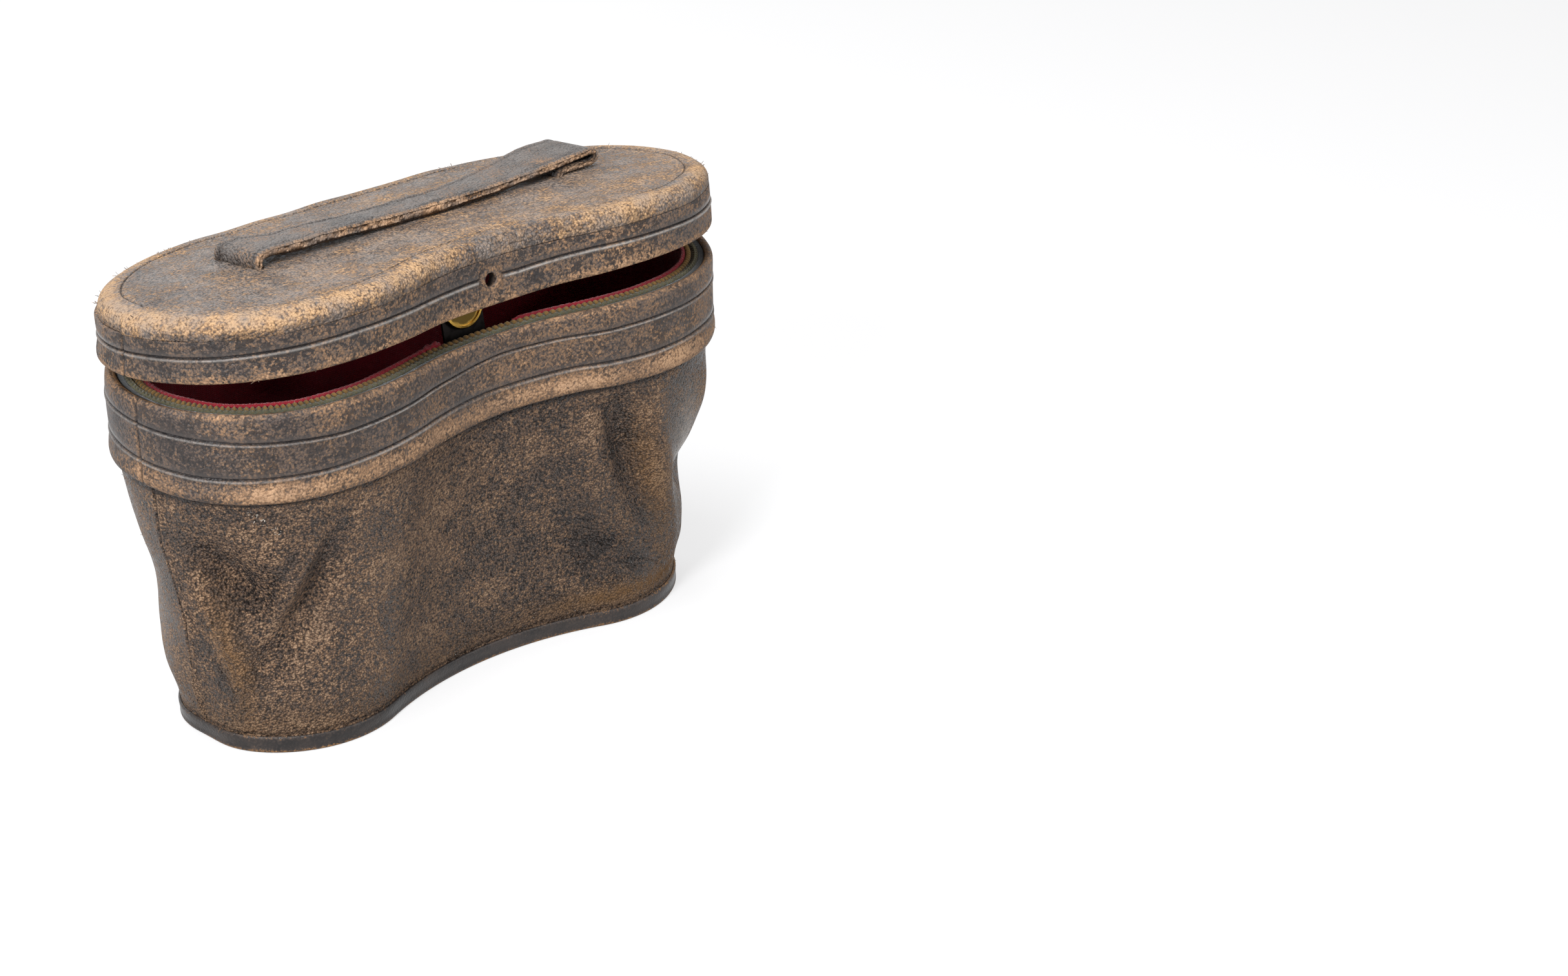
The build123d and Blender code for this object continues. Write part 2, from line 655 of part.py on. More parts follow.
with BuildPart() as handle_strap:
    with BuildSketch(facing_front(lid_frame, strap_centre_y + strap_width / 2)) as section:
        with BuildLine() as strap_line:
            FilletPolyline(
                (strap_left_slot + strap_tail, tail_level),
                (strap_left_slot, tail_level),
                (strap_left_slot, left_level),
                (strap_left_slot * strap_wave_share, left_level),
                (0, middle_level),
                (strap_right_slot * strap_wave_share, middle_level),
                (strap_right_slot, loop_level),
                (strap_loop_end, loop_level),
                (strap_loop_end, return_level),
                (strap_right_slot, return_level),
                (strap_right_slot, tail_level),
                (strap_right_slot - strap_tail, tail_level),
                radius=[strap_fold, strap_shoulder_radius]
                + [strap_sag_radius] * 3
                + [strap_hump_radius]
                + [loop_radius] * 2
                + [strap_fold] * 2,
            )
        trace(strap_line.edges(), strap_thickness)
    extrude(section.sketch, amount=strap_width)
    bars(lid_level(board_bottom), tack_places, tack_hole, strap_thickness + fit_gap, Mode.SUBTRACT)

with BuildPart() as strap_tacks:
    bars(lid_level(board_bottom), tack_places, tack_radius, lid_board_thickness)

pieces = {
    "body_leather": body_leather,
    "rim_band": rim_band,
    "rim_hoop": rim_hoop,
    "edge_felt": edge_felt,
    "rim_braid": rim_braid,
    "body_card": body_card,
    "body_wadding": body_wadding,
    "body_lining": body_lining,
    "lining_welt": lining_welt,
    "floor_pad": floor_pad,
    "base_board": base_board,
    "base_leather": base_leather,
    "base_binding": base_binding,
    "hinge_leaf_body": hinge_leaf_body,
    "hinge_leaf_lid": hinge_leaf_lid,
    "hinge_pin": hinge_pin,
    "hinge_rivets_body": hinge_rivets_body,
    "hinge_rivets_lid": hinge_rivets_lid,
    "catch_packing": catch_packing,
    "catch_clamp": catch_clamp,
    "catch_rivets": catch_rivets,
    "catch_spring": catch_spring,
    "catch_button": catch_button,
    "lid_side_leather": lid_side_leather,
    "lid_hoop": lid_hoop,
    "lid_wall_lining": lid_wall_lining,
    "lid_top_lining": lid_top_lining,
    "lid_board": lid_board,
    "lid_top_leather": lid_top_leather,
    "handle_strap": handle_strap,
    "strap_tacks": strap_tacks,
}
os.makedirs("parts", exist_ok=True)
for name, piece in pieces.items():
    piece.part.label = name
    export_step(piece.part, f"parts/{name}.step")
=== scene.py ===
"""Looks of a kidney-shaped leather opera-glass case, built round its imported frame.

Shapes are worked out in millimetres, in the frame's own axes, and written to meshes in metres.
"""

from functools import cached_property
from itertools import product
from math import cos, pi, radians, sin

import bmesh
import bpy
import numpy as np
from mathutils import Matrix, Vector


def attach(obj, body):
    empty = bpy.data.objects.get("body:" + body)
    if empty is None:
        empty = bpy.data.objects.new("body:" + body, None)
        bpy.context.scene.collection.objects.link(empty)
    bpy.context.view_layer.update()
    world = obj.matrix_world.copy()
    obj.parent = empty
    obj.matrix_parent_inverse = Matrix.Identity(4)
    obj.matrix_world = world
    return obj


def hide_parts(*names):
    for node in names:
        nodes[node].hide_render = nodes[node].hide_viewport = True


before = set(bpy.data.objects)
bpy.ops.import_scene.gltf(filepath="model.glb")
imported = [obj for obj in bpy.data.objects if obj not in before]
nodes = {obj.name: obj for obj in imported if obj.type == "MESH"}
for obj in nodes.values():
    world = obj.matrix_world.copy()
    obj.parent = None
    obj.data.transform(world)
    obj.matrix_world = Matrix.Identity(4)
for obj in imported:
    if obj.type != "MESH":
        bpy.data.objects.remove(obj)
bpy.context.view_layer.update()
MM = 0.001

# ------------ sizes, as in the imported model
rim_height = 68.2
band_bottom = 52.2
upper_groove = 63.1
lower_groove = 56.5
hoop_top = 67.2
lining_top = 67.3
floor_level = 3.0
lid_edge = 68.4
lid_top = 79.7
lid_groove = 73.0
lap_level = 76.0
stud_height = 72.15
stud_hole_radius = 1.3
button_middle = (0.0, -13.8, 71.1)
catch_half_width = 8.0
hinge_y = 29.6
hinge_z = 68.3
ajar = radians(6.4)
strap_y = 4.1
strap_width = 13.0
strap_thickness = 1.4
strap_slots = (-34.0, 35.0)
roll_radius = 2.9
# how far inside the outline the faces of leather, card, wadding and lining lie, at the rim and at the foot
rim_faces = (0.9, 1.9, 2.9, 5.4, 6.2)
foot_faces = (0.5, 1.5, 2.5, 3.1, 3.9)


# ------------ outline of the case
class Kidney:
    """Outline with a waisted front, round ends and a straight back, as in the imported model."""

    def __init__(self, length, depth, waist_turn, lobe_radius, lobe_turn, back_radius, back_turn):
        waist, lobe, back = radians(waist_turn), radians(lobe_turn), radians(back_turn)
        reach = depth - lobe_radius * (1 - cos(lobe)) - back_radius * (1 + cos(back))
        end_radius = reach / (cos(lobe) - cos(back))
        half = length / 2 - lobe_radius * (sin(lobe) + sin(waist)) - end_radius * (1 - sin(lobe))
        waist_radius = half / sin(waist)
        self.waist_y = (waist_radius + lobe_radius) * (1 - cos(waist)) - depth / 2
        self.arcs = [
            (-waist_radius, -waist),
            (lobe_radius, waist + lobe),
            (end_radius, back - lobe),
            (back_radius, pi - back),
        ]

    def walk(self, fractions):
        """Points and outward normals of the right half, from the middle of the front to the back."""
        x, y, heading = 0.0, self.waist_y, 0.0
        points, normals = [], []
        for radius, turn in self.arcs:
            angles = heading + turn * fractions
            normals.append(np.stack([np.sin(angles), -np.cos(angles)], -1))
            middle = np.array([x - radius * sin(heading), y + radius * cos(heading)])
            points.append(middle + radius * normals[-1])
            heading += turn
            x, y = middle + [radius * sin(heading), -radius * cos(heading)]
        points.append(np.stack([x * (1 - fractions), np.full_like(fractions, y)], -1))
        normals.append(np.stack([0 * fractions, 0 * fractions + 1], -1))
        return np.vstack(points), np.vstack(normals)


rim = Kidney(
    126.0, 56.5, waist_turn=19.0, lobe_radius=50.0, lobe_turn=6.7, back_radius=43.0, back_turn=135.0
)
foot = Kidney(
    109.2, 46.4, waist_turn=22.2, lobe_radius=21.7, lobe_turn=45.8, back_radius=40.5, back_turn=128.0
)
steps = np.linspace(0, 1, 400, endpoint=False)
rim_points, rim_normals = rim.walk(steps)
foot_points, foot_normals = foot.walk(steps)
lengths = np.linalg.norm(np.diff(rim_points, axis=0), axis=1)
half_way = np.hstack([[0], np.cumsum(lengths)])
half_round = half_way[-1] + lengths[-1]
round_length = 2 * half_round
end_way = float(half_way[np.argmax(rim_points[:, 0])])  # along the front to the tip of an end


def wrap(s):
    """Brings distances along the rim into one round, from the back to the back."""
    return (np.asarray(s) + half_round) % round_length - half_round


def along(table, s):
    """Values of a right-half table at distances s along the rim, negative to the left."""
    s = wrap(s)
    x, y = (np.interp(np.abs(s), half_way, values) for values in table.T)
    return np.stack([np.where(s < 0, -x, x), y], -1)


def wall(s, z, inset, foot_inset=None):
    """Points of the wall at distances s along the rim and heights z; it tapers below the band."""
    s, z, inset, low = np.broadcast_arrays(s, z, inset, inset if foot_inset is None else foot_inset)
    up = np.clip(z / band_bottom, 0, 1)[..., None]
    upper = along(rim_points, s) - along(rim_normals, s) * inset[..., None]
    lower = along(foot_points, s) - along(foot_normals, s) * low[..., None]
    return np.concatenate([lower * (1 - up) + upper * up, z[..., None]], -1)


def on_lid(points):
    """Turns points of the shut lid about the hinge to where the lid stands."""
    y, z = points[..., 1] - hinge_y, points[..., 2] - hinge_z
    turned = points.copy()
    turned[..., 1] = hinge_y + y * cos(ajar) + z * sin(ajar)
    turned[..., 2] = hinge_z - y * sin(ajar) + z * cos(ajar)
    return turned


def columns(step, *fine):
    """Column of distances round the rim, every step, and closer where fine says (from, to, step)."""
    ways = np.arange(-half_round, half_round, step)
    for start, stop, closer in fine:
        ways = ways[(ways < start - step / 3) | (ways > stop + step / 3)]
        ways = np.hstack([ways, np.arange(start, stop + closer / 2, closer)])
    return np.sort(ways)[:, None]


# ------------ meshes
def face_out(mesh, weld=0.0):
    """Turns every face outwards, after joining points that lie within a distance in metres."""
    shape = bmesh.new()
    shape.from_mesh(mesh)
    if weld:
        bmesh.ops.remove_doubles(shape, verts=shape.verts, dist=weld)
    bmesh.ops.recalc_face_normals(shape, faces=shape.faces)
    shape.to_mesh(mesh)
    shape.free()


def mesh_piece(name, points, faces, smooth=True, **marks):
    """Object from points in millimetres; marks are values per point that the materials read."""
    mesh = bpy.data.meshes.new(name)
    mesh.from_pydata((np.asarray(points).reshape(-1, 3) * MM).tolist(), [], faces)
    face_out(mesh)
    for mark, values in marks.items():
        layer = mesh.attributes.new(mark, "FLOAT", "POINT")
        layer.data.foreach_set("value", np.broadcast_to(values, points.shape[:-1]).astype(np.float32).ravel())
    mesh.shade_smooth() if smooth else mesh.shade_flat()
    piece = bpy.data.objects.new(name, mesh)
    bpy.context.scene.collection.objects.link(piece)
    return piece


def grid_faces(rows, across, close_rows=True, close_across=True):
    """Quads of a grid of points, rows by across."""
    index = np.arange(rows * across).reshape(rows, across)
    if close_rows:
        index = np.vstack([index, index[:1]])
    if close_across:
        index = np.hstack([index, index[:, :1]])
    quads = np.stack([index[:-1, :-1], index[1:, :-1], index[1:, 1:], index[:-1, 1:]], -1)
    return quads.reshape(-1, 4).tolist()


def ring(name, points, open_ends=False, **marks):
    """Closed section swept round the case; points are columns by section."""
    rows, across = points.shape[:2]
    faces = grid_faces(rows, across, close_rows=not open_ends)
    if open_ends:
        faces.append(list(range(across))[::-1])
        faces.append(list(range((rows - 1) * across, rows * across)))
    return mesh_piece(name, points, faces, **marks)


def bell(value, middle, width):
    """Smooth bump of height 1."""
    return np.exp(-(((value - middle) / width) ** 2))


def ramp(value, low, high):
    """Smooth step from 0 at low to 1 at high."""
    t = np.clip((value - low) / (high - low), 0, 1)
    return t * t * (3 - 2 * t)


def waves(s, seed, count=6, slowest=1):
    """Gentle unevenness round the case, about one high, the same each run."""
    rng = np.random.default_rng(seed)
    total = 0 * s
    for turn in range(slowest, slowest + count):
        total = total + rng.uniform(-1, 1) * np.sin(2 * pi * turn * s / round_length + rng.uniform(0, 2 * pi))
    return total / count**0.5


def ripple(a, b, seed, scale, count=24):
    """Two-way unevenness about one high, with bumps about scale across."""
    rng = np.random.default_rng(seed)
    total = 0 * (a + b)
    for _ in range(count):
        angle, phase = rng.uniform(0, 2 * pi, 2)
        pitch = scale * rng.uniform(0.7, 1.6)
        total = total + np.sin(2 * pi * (a * cos(angle) + b * sin(angle)) / pitch + phase)
    return total / count**0.5


# ------------ materials
def colour(screen):
    """Shader colour from the 0 to 255 values that a screen shows."""
    shares = np.array(screen) / 255
    linear = np.where(shares <= 0.04045, shares / 12.92, ((shares + 0.055) / 1.055) ** 2.4)
    return (*linear.tolist(), 1.0)


class Shader:
    """Short way to write the nodes of a material or a world."""

    def __init__(self, name, kind=bpy.data.materials, surface="Principled BSDF"):
        self.material = kind.new(name)
        self.material.use_nodes = True
        self.tree = self.material.node_tree
        self.surface = self.tree.nodes[surface]

    @cached_property
    def place(self):
        """Place on the object, in millimetres."""
        place = self.add("ShaderNodeTexCoord").outputs["Object"]
        return self.add("ShaderNodeVectorMath", {0: place, "Scale": 1 / MM}, operation="SCALE").outputs[0]

    def add(self, kind, inputs=None, **settings):
        node = self.tree.nodes.new(kind)
        for key, value in settings.items():
            setattr(node, key, value)
        for key, value in (inputs or {}).items():
            self.put(node.inputs[key], value)
        return node

    def put(self, socket, value):
        if isinstance(value, bpy.types.NodeSocket):
            self.tree.links.new(value, socket)
        else:
            socket.default_value = value

    def set(self, **inputs):
        """Sets the surface's inputs, with underscores for spaces."""
        for key, value in inputs.items():
            self.put(self.surface.inputs[key.replace("_", " ")], value)

    def math(self, operation, *values):
        return self.add("ShaderNodeMath", dict(enumerate(values)), operation=operation).outputs[0]

    def times(self, a, b):
        return self.math("MULTIPLY", a, b)

    def sum(self, a, share, base):
        """A share of a on top of base."""
        return self.math("MULTIPLY_ADD", a, share, base)

    def vary(self, value, noise, gain):
        """Moves a value up and down by a noise whose middle is 0.5."""
        return self.sum(self.math("SUBTRACT", noise, 0.5), gain, value)

    def vector(self, operation, *values, output="Vector"):
        return self.add("ShaderNodeVectorMath", dict(enumerate(values)), operation=operation).outputs[output]

    def noise(self, scale, detail=3.0, rough=0.55, place=None, output="Fac"):
        inputs = {"Vector": place or self.place, "Scale": scale, "Detail": detail, "Roughness": rough}
        return self.add("ShaderNodeTexNoise", inputs).outputs[output]

    def mark(self, name):
        return self.add("ShaderNodeAttribute", attribute_name=name).outputs["Fac"]

    def seen(self):
        """1 on the rays that show a thing: straight, in a mirror or through glass."""
        rays = self.add("ShaderNodeLightPath").outputs
        straight = self.math("MAXIMUM", rays["Is Camera Ray"], rays["Is Glossy Ray"])
        return self.math("MAXIMUM", straight, rays["Is Transmission Ray"])

    def stretch(self, value, low, high, to_low=0.0, to_high=1.0):
        """Maps low to high onto another range, clamped."""
        inputs = {"Value": value, "From Min": low, "From Max": high, "To Min": to_low, "To Max": to_high}
        return self.add("ShaderNodeMapRange", inputs).outputs["Result"]

    def ramp(self, value, *stops):
        """Colour along a row of (place, screen colour) stops, lowest first."""
        node = self.add("ShaderNodeValToRGB", {"Fac": value})
        elements = node.color_ramp.elements
        for _ in stops[2:]:
            elements.new(0.5)
        for element, (place, tone) in zip(elements, stops):
            element.position, element.color = place, colour(tone)
        return node.outputs["Color"]

    def blend(self, share, a, b):
        """Colour b over colour a; each is a socket or a screen colour."""
        a, b = (colour(tone) if isinstance(tone, tuple) else tone for tone in (a, b))
        return self.add("ShaderNodeMix", {0: share, 6: a, 7: b}, data_type="RGBA").outputs[2]

    def bump(self, height, depth, strength=1.0):
        """Normal from a height; depth is in millimetres."""
        inputs = {"Height": height, "Distance": depth * MM, "Strength": strength}
        return self.add("ShaderNodeBump", inputs).outputs["Normal"]


BLACKENED = (38, 34, 34)
FINISH = (87, 74, 67)
BROWN = (112, 91, 74)
OCHRE = (146, 113, 84)
PALE = (186, 150, 118)
GLUE = (150, 108, 58)
TOOLED = (70, 65, 63)
# pale grey of a painted sheen
PAINTED_SHEEN = (150, 146, 142)
# near-black for soiled places, and for painted shade
GRIME_AND_SHADE = (24, 22, 25)


def leather(
    name, worn=0.0, tones=(BLACKENED, FINISH, BROWN, OCHRE, PALE), bloom_and_sheen=FINISH, film=0.3,
    gains=(1.5, 0.9, 0.6), grain=2.1, cell=0.45, lines=0.7, pits=0.0, pebble=0.12, gloss=0.42,
):
    """Old goatskin: a pebbled grain whose dark finish stays in its hollows and is rubbed off its tops.

    worn is how far it is rubbed down the row of tones, gains how much that varies by the speck, the
    blotch and the patch, grain the specks' scale, film how strongly bloom_and_sheen lies over it (a
    grey film for the old hide's blooming, and on the lid's top a painted sheen), cell the pebbles'
    width in millimetres, lines and pits how dark the gaps and holes are, pebble the depth and gloss the
    least roughness. Marks on the mesh say where it is worn, soiled, amber with old glue, burnished by a
    tool or given a painted sheen; the worn and soiled marks also carry painted shade in places.
    """
    m = Shader(name)
    drift = m.noise(1.1, 2.0, 0.5, output="Color")
    bent = m.vector("MULTIPLY_ADD", drift, (0.45, 0.45, 0.45), m.place)
    valley = m.add("ShaderNodeTexVoronoi", {"Vector": bent, "Scale": 1 / cell}).outputs["Distance"]
    valley = m.times(valley, valley)
    speck, blotch, patch = m.noise(grain, 4.0, 0.68), m.noise(0.62, 5.0, 0.68), m.noise(0.1, 4.0, 0.65)
    wear, soil, burnish, shine = (m.mark(name) for name in ("wear", "soil", "burnish", "shine"))
    value = 0.42 + worn
    for noise, gain in zip((speck, blotch, patch), gains):
        value = m.vary(value, noise, gain)
    value = m.sum(m.math("SUBTRACT", 0.25, valley), 0.45, value)
    value = m.sum(wear, 0.6, value)
    tone = m.ramp(value, *zip((0.05, 0.34, 0.54, 0.76, 1.0), tones))
    tone = m.blend(m.times(film, m.stretch(m.noise(0.16, 4.0, 0.7), 0.4, 0.62)), tone, bloom_and_sheen)
    gaps = m.times(m.stretch(valley, 0.28, 0.6, 0.0, lines), m.stretch(wear, 0.0, 0.6, 1.0, 0.25))
    tone = m.blend(gaps, tone, BLACKENED)
    if pits:
        holes = m.vary(m.noise(1.25, 4.0, 0.62), m.noise(0.2, 3.0, 0.6), 0.6)
        holes = m.sum(wear, -0.16, holes)
        tone = m.blend(m.stretch(holes, 0.51, 0.57, 0.0, pits), tone, BLACKENED)
    tone = m.blend(m.times(m.mark("amber"), m.stretch(blotch, 0.35, 0.6, 0.45, 1.0)), tone, GLUE)
    tone = m.blend(m.times(burnish, 0.6), tone, TOOLED)
    # painted highlight: a pale grey sheen blended into the colour where the shine mark is set
    tone = m.blend(m.times(shine, m.stretch(blotch, 0.38, 0.5, 0.35, 0.85)), tone, PAINTED_SHEEN)
    # soiled places and painted shade go towards near-black
    tone = m.blend(soil, tone, GRIME_AND_SHADE)
    smooth = m.math("MAXIMUM", burnish, shine)
    rough = m.stretch(value, 0.25, 0.95, gloss, 0.85)
    rough = m.sum(smooth, m.math("SUBTRACT", 0.26, rough), rough)
    height = m.sum(valley, -1.2, m.times(speck, 0.7))
    height = m.times(height, m.math("SUBTRACT", 1.0, m.times(smooth, 0.85)))
    m.set(Base_Color=tone, Roughness=rough, Specular_IOR_Level=0.34, Normal=m.bump(height, pebble))
    return m.material


def cloth(name, deep, bright, pitch, fuzz, bump=0.08):
    """Woven or felted cloth with a soft edge light."""
    m = Shader(name)
    axes = m.add("ShaderNodeSeparateXYZ", {0: m.place})
    sides = [m.math("SINE", m.times(axes.outputs[i], 2 * pi / pitch)) for i in range(3)]
    weave = m.times(m.math("ADD", sides[0], sides[1]), sides[2])
    slubs = m.noise(1.6, 4.0, 0.65)
    fade = m.noise(0.08, 3.0, 0.6)
    share = m.sum(weave, 0.1, m.sum(fade, 0.7, m.sum(slubs, 0.7, -0.25)))
    m.set(Base_Color=m.ramp(share, (0.15, deep), (0.85, bright)))
    m.set(Roughness=0.92, Sheen_Weight=fuzz, Sheen_Roughness=0.4, Specular_IOR_Level=0.2)
    m.set(Normal=m.bump(m.sum(slubs, 0.8, weave), bump, 0.7))
    return m.material


def braid_thread(name):
    """Twisted threads: ochre where the mark is high, dark green where it is low."""
    m = Shader(name)
    hair = m.noise(5.0, 3.0, 0.7)
    faded = m.sum(m.noise(0.25, 3.0, 0.6), 0.5, m.times(hair, 0.6))
    ochre = m.ramp(faded, (0.3, (98, 72, 38)), (0.8, (166, 128, 70)))
    green = m.ramp(faded, (0.3, (50, 54, 44)), (0.8, (104, 110, 90)))
    tone = m.blend(m.mark("ochre"), green, ochre)
    tone = m.blend(m.mark("soil"), tone, (30, 27, 22))
    m.set(Base_Color=tone, Roughness=0.85, Sheen_Weight=0.25, Specular_IOR_Level=0.25)
    m.set(Normal=m.bump(hair, 0.07, 0.8))
    return m.material


def metal(name, base, dull, rough, spots, dish=None):
    """Metal with tarnish in patches and fine scratches, and grime in a dish round a place in millimetres."""
    m = Shader(name)
    tarnish = m.stretch(m.noise(0.55, 5.0, 0.65), 0.42, 0.7, 0.0, spots)
    scratch = m.noise(9.0, 2.0, 0.5, m.vector("MULTIPLY", m.place, (1.0, 0.12, 1.0)))
    if dish is not None:
        away = m.vector("DISTANCE", m.place, dish, output="Value")
        grime = m.stretch(m.sum(m.noise(0.5, 3.0, 0.6), 1.2, away), 4.1, 4.6, 0.85, 0.0)
        tarnish = m.math("MAXIMUM", tarnish, grime)
    m.set(Base_Color=m.blend(tarnish, base, dull), Metallic=1.0)
    m.set(Roughness=m.sum(tarnish, 0.45, m.sum(scratch, 0.2, rough - 0.1)))
    m.set(Normal=m.bump(scratch, 0.012, 0.5))
    return m.material


def wood(name, pale, dark, painted_shade_place=None):
    """Bent beech, aged, with grain along the case, and black painted shade round a place given in
    millimetres.
    """
    m = Shader(name)
    streaks = m.noise(1.4, 5.0, 0.65, m.vector("MULTIPLY", m.place, (0.12, 0.12, 1.6)))
    tone = m.ramp(streaks, (0.3, dark), (0.75, pale))
    if painted_shade_place is not None:
        away = m.vector("DISTANCE", m.place, painted_shade_place, output="Value")
        tone = m.blend(m.stretch(away, 3.0, 5.0, 0.9, 0.0), tone, BLACKENED)
    m.set(Base_Color=tone, Roughness=0.75, Normal=m.bump(streaks, 0.05, 0.5))
    return m.material


body_tones = ((42, 36, 33), (80, 66, 58), (108, 87, 72), (138, 106, 80), (184, 152, 124))
top_tones = (BLACKENED, FINISH, BROWN, (150, 117, 84), (190, 154, 116))
strap_tones = (BLACKENED, (70, 63, 59), (94, 82, 74), OCHRE, PALE)
binding_tones = ((20, 19, 19), (36, 33, 33), (58, 50, 46), (134, 98, 62), (176, 138, 94))
fleck_tones = (OCHRE, PALE, (206, 186, 164), (222, 208, 190), (232, 224, 212))
body_hide = leather(
    "body_hide", worn=0.1, tones=body_tones,
    film=0.35, gains=(2.7, 1.3, 1.3), grain=1.6, lines=0.5, pebble=0.85, gloss=0.24,
)
band_hide = leather("band_hide", worn=0.06, pits=0.75)
lid_hide = leather("lid_hide", worn=0.08, pits=0.9)
# the pale grey film laid over the top's leather is a painted sheen
top_hide = leather(
    "top_hide", worn=0.15, tones=top_tones, bloom_and_sheen=(134, 126, 121),
    film=0.6, gains=(2.1, 1.4, 1.0), grain=1.8, cell=0.5, lines=0.4, pits=0.4, pebble=0.3, gloss=0.3,
)
strap_hide = leather(
    "strap_hide", tones=strap_tones, bloom_and_sheen=(104, 97, 93),
    film=0.8, gains=(0.9, 0.7, 0.7), cell=0.5, lines=0.4, pebble=0.25, gloss=0.26,
)
base_hide = leather("base_hide", worn=-0.1, tones=body_tones)
binding_hide = leather(
    "binding_hide", worn=-0.2, tones=binding_tones,
    gains=(1.0, 0.8, 0.5), cell=0.4, pebble=0.05, gloss=0.3,
)
fray_hide = leather("fray_hide", worn=0.12, pebble=0.0)
fleck_hide = leather("fleck_hide", worn=0.9, tones=fleck_tones, pebble=0.0)
lining = cloth("lining", (112, 18, 30), (168, 36, 50), pitch=0.4, fuzz=0.35)
welt_cloth = cloth("welt_cloth", (116, 22, 34), (176, 44, 56), pitch=0.3, fuzz=0.25)
felt = cloth("felt", (52, 55, 58), (98, 102, 104), pitch=0.5, fuzz=0.3)
wadding = cloth("wadding", (196, 186, 168), (228, 220, 204), pitch=0.9, fuzz=0.5, bump=0.2)
braid_cloth = braid_thread("braid_cloth")
card = wood("card", (166, 140, 104), (136, 112, 82))
beech = ((120, 88, 58), (70, 48, 32))
hoop_wood = wood("hoop_wood", *beech)
# painted shade: the lid's hoop is black round the stud's hole, so the hole looks dark inside
lid_wood = wood("lid_wood", *beech, on_lid(np.array([0.0, rim.waist_y + 2, stud_height])))
hinge_brass = metal("hinge_brass", (186, 152, 92), (84, 66, 40), rough=0.38, spots=0.8)
button_brass = metal("button_brass", (214, 172, 84), (70, 60, 36), rough=0.22, spots=0.5, dish=button_middle)
catch_steel = metal("catch_steel", (38, 35, 34), (18, 16, 16), rough=0.42, spots=0.9)
pin_steel = metal("pin_steel", (150, 146, 140), (88, 62, 46), rough=0.4, spots=0.8)


def paint(piece, material):
    """Gives a piece its material, as its only material slot."""
    piece.data.materials.clear()
    piece.data.materials.append(material)


def dress(piece, material, body, node=None):
    """Paints a piece, attaches it to the body it moves with, and hides the imported node it stands for."""
    paint(piece, material)
    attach(piece, body)
    if node:
        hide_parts(node)
    return piece


# ------------ dents of the softened lower body
def tilted(s, z, s0, z0, tilt):
    """Distances along and across a line through a place on the wall, at a tilt in degrees."""
    a, b, turn = s - s0, z - z0, radians(tilt)
    return a * cos(turn) + b * sin(turn), b * cos(turn) - a * sin(turn)


def fold(s, z, s0, z0, length, width, tilt):
    """Soft bump about one high, lying at a tilt in degrees on the wall."""
    u, v = tilted(s, z, s0, z0, tilt)
    return bell(u, 0, length) * bell(v, 0, width)


# way along the rim, height, half length, half width, tilt in degrees and rise of each fold and hollow
folds = [
    (-59.5, 35.5, 11, 5.2, -31, -3.8),
    (-45.5, 34, 9, 2.8, 65, 1.6),
    (-41, 31, 12, 3.6, 80, -2.0),
    (-48.5, 20.5, 8, 4.4, 60, -1.3),
    (-60.5, 23, 12, 4, -57, 1.5),
    (-71, 27, 7, 4.5, 80, 1.0),
    (-95, 12, 16, 9, 0, 1.0),
    (-95, 31, 12, 6.5, 0, -1.5),
    (27.5, 36, 13, 4.4, -80, -3.4),
    (36, 28, 18, 3.4, -86, 1.8),
    (50, 25, 10, 5.0, 0, -3.0),
    (54, 41, 10, 7, 0, 1.5),
    (48, 11, 12, 7, 0, 1.0),
    (20, 16, 9, 4.8, -30, -1.2),
    (118, 30, 22, 9, 15, -1.6),
]
# way, height, half length, half width, tilt, pitch and depth of each patch of fine creases
creased = [
    (-57, 37, 13, 6, -30, 1.5, 0.3),
    (-42, 30, 13, 5, 78, 1.4, 0.24),
    (-62, 21, 12, 5, -57, 1.6, 0.2),
    (20, 16, 12, 7, -30, 1.5, 0.32),
    (28, 38, 12, 5, -80, 1.5, 0.22),
    (50, 26, 9, 9, -70, 1.5, 0.22),
]


def creases(s, z):
    """Fine creases where the leather bends, always inwards."""
    total = 0 * (s + z)
    for number, (s0, z0, length, width, tilt, pitch, depth) in enumerate(creased):
        u, v = tilted(s, z, s0, z0, tilt)
        bend = 0.55 * ripple(u * 0.5, v, 200 + number, 6.0, 8)
        lines = np.clip(np.cos(2 * pi * (v / pitch + bend)), 0, 1) ** 4
        broken = np.clip(0.5 + 0.6 * ripple(u * 0.6, v * 1.6, 220 + number, 5.0, 10), 0, 1)
        total = total - depth * lines * broken * bell(u, 0, length) * bell(v, 0, width)
    return total


def sag(s, z):
    """Outward shift of the soft wall, in millimetres."""
    out = 0.16 * ripple(s, z, 11, 26.0) + 0.05 * ripple(s, z, 12, 8.0)
    for *place, rise in folds:
        out = out + rise * fold(s, z, *place)
    return out * ramp(z, 3.5, 12) * (1 - ramp(z, 47.5, band_bottom))


def foot_shift(s):
    """How far the foot's outline stands out or in, where the case has settled."""
    return 0.5 * bell(s, -97, 15) - 0.8 * bell(s, -71, 11) - 0.6 * bell(s, 72, 13)


def front(s):
    """1 at the front and the ends, and 0 at the back, where a mark's two ends meet."""
    return 1 - ramp(np.abs(wrap(s)), 95, 122)


def waist_drop(s):
    """How far the rim and the lid's edge sag at the waist."""
    return 0.9 * bell(s, 0, 22)


def spots(s, z, *rows):
    """Soft spots on the wall; rows are strength, way, half width, height and half height."""
    return sum(much * bell(s, s0, width) * bell(z, z0, height) for much, s0, width, z0, height in rows)


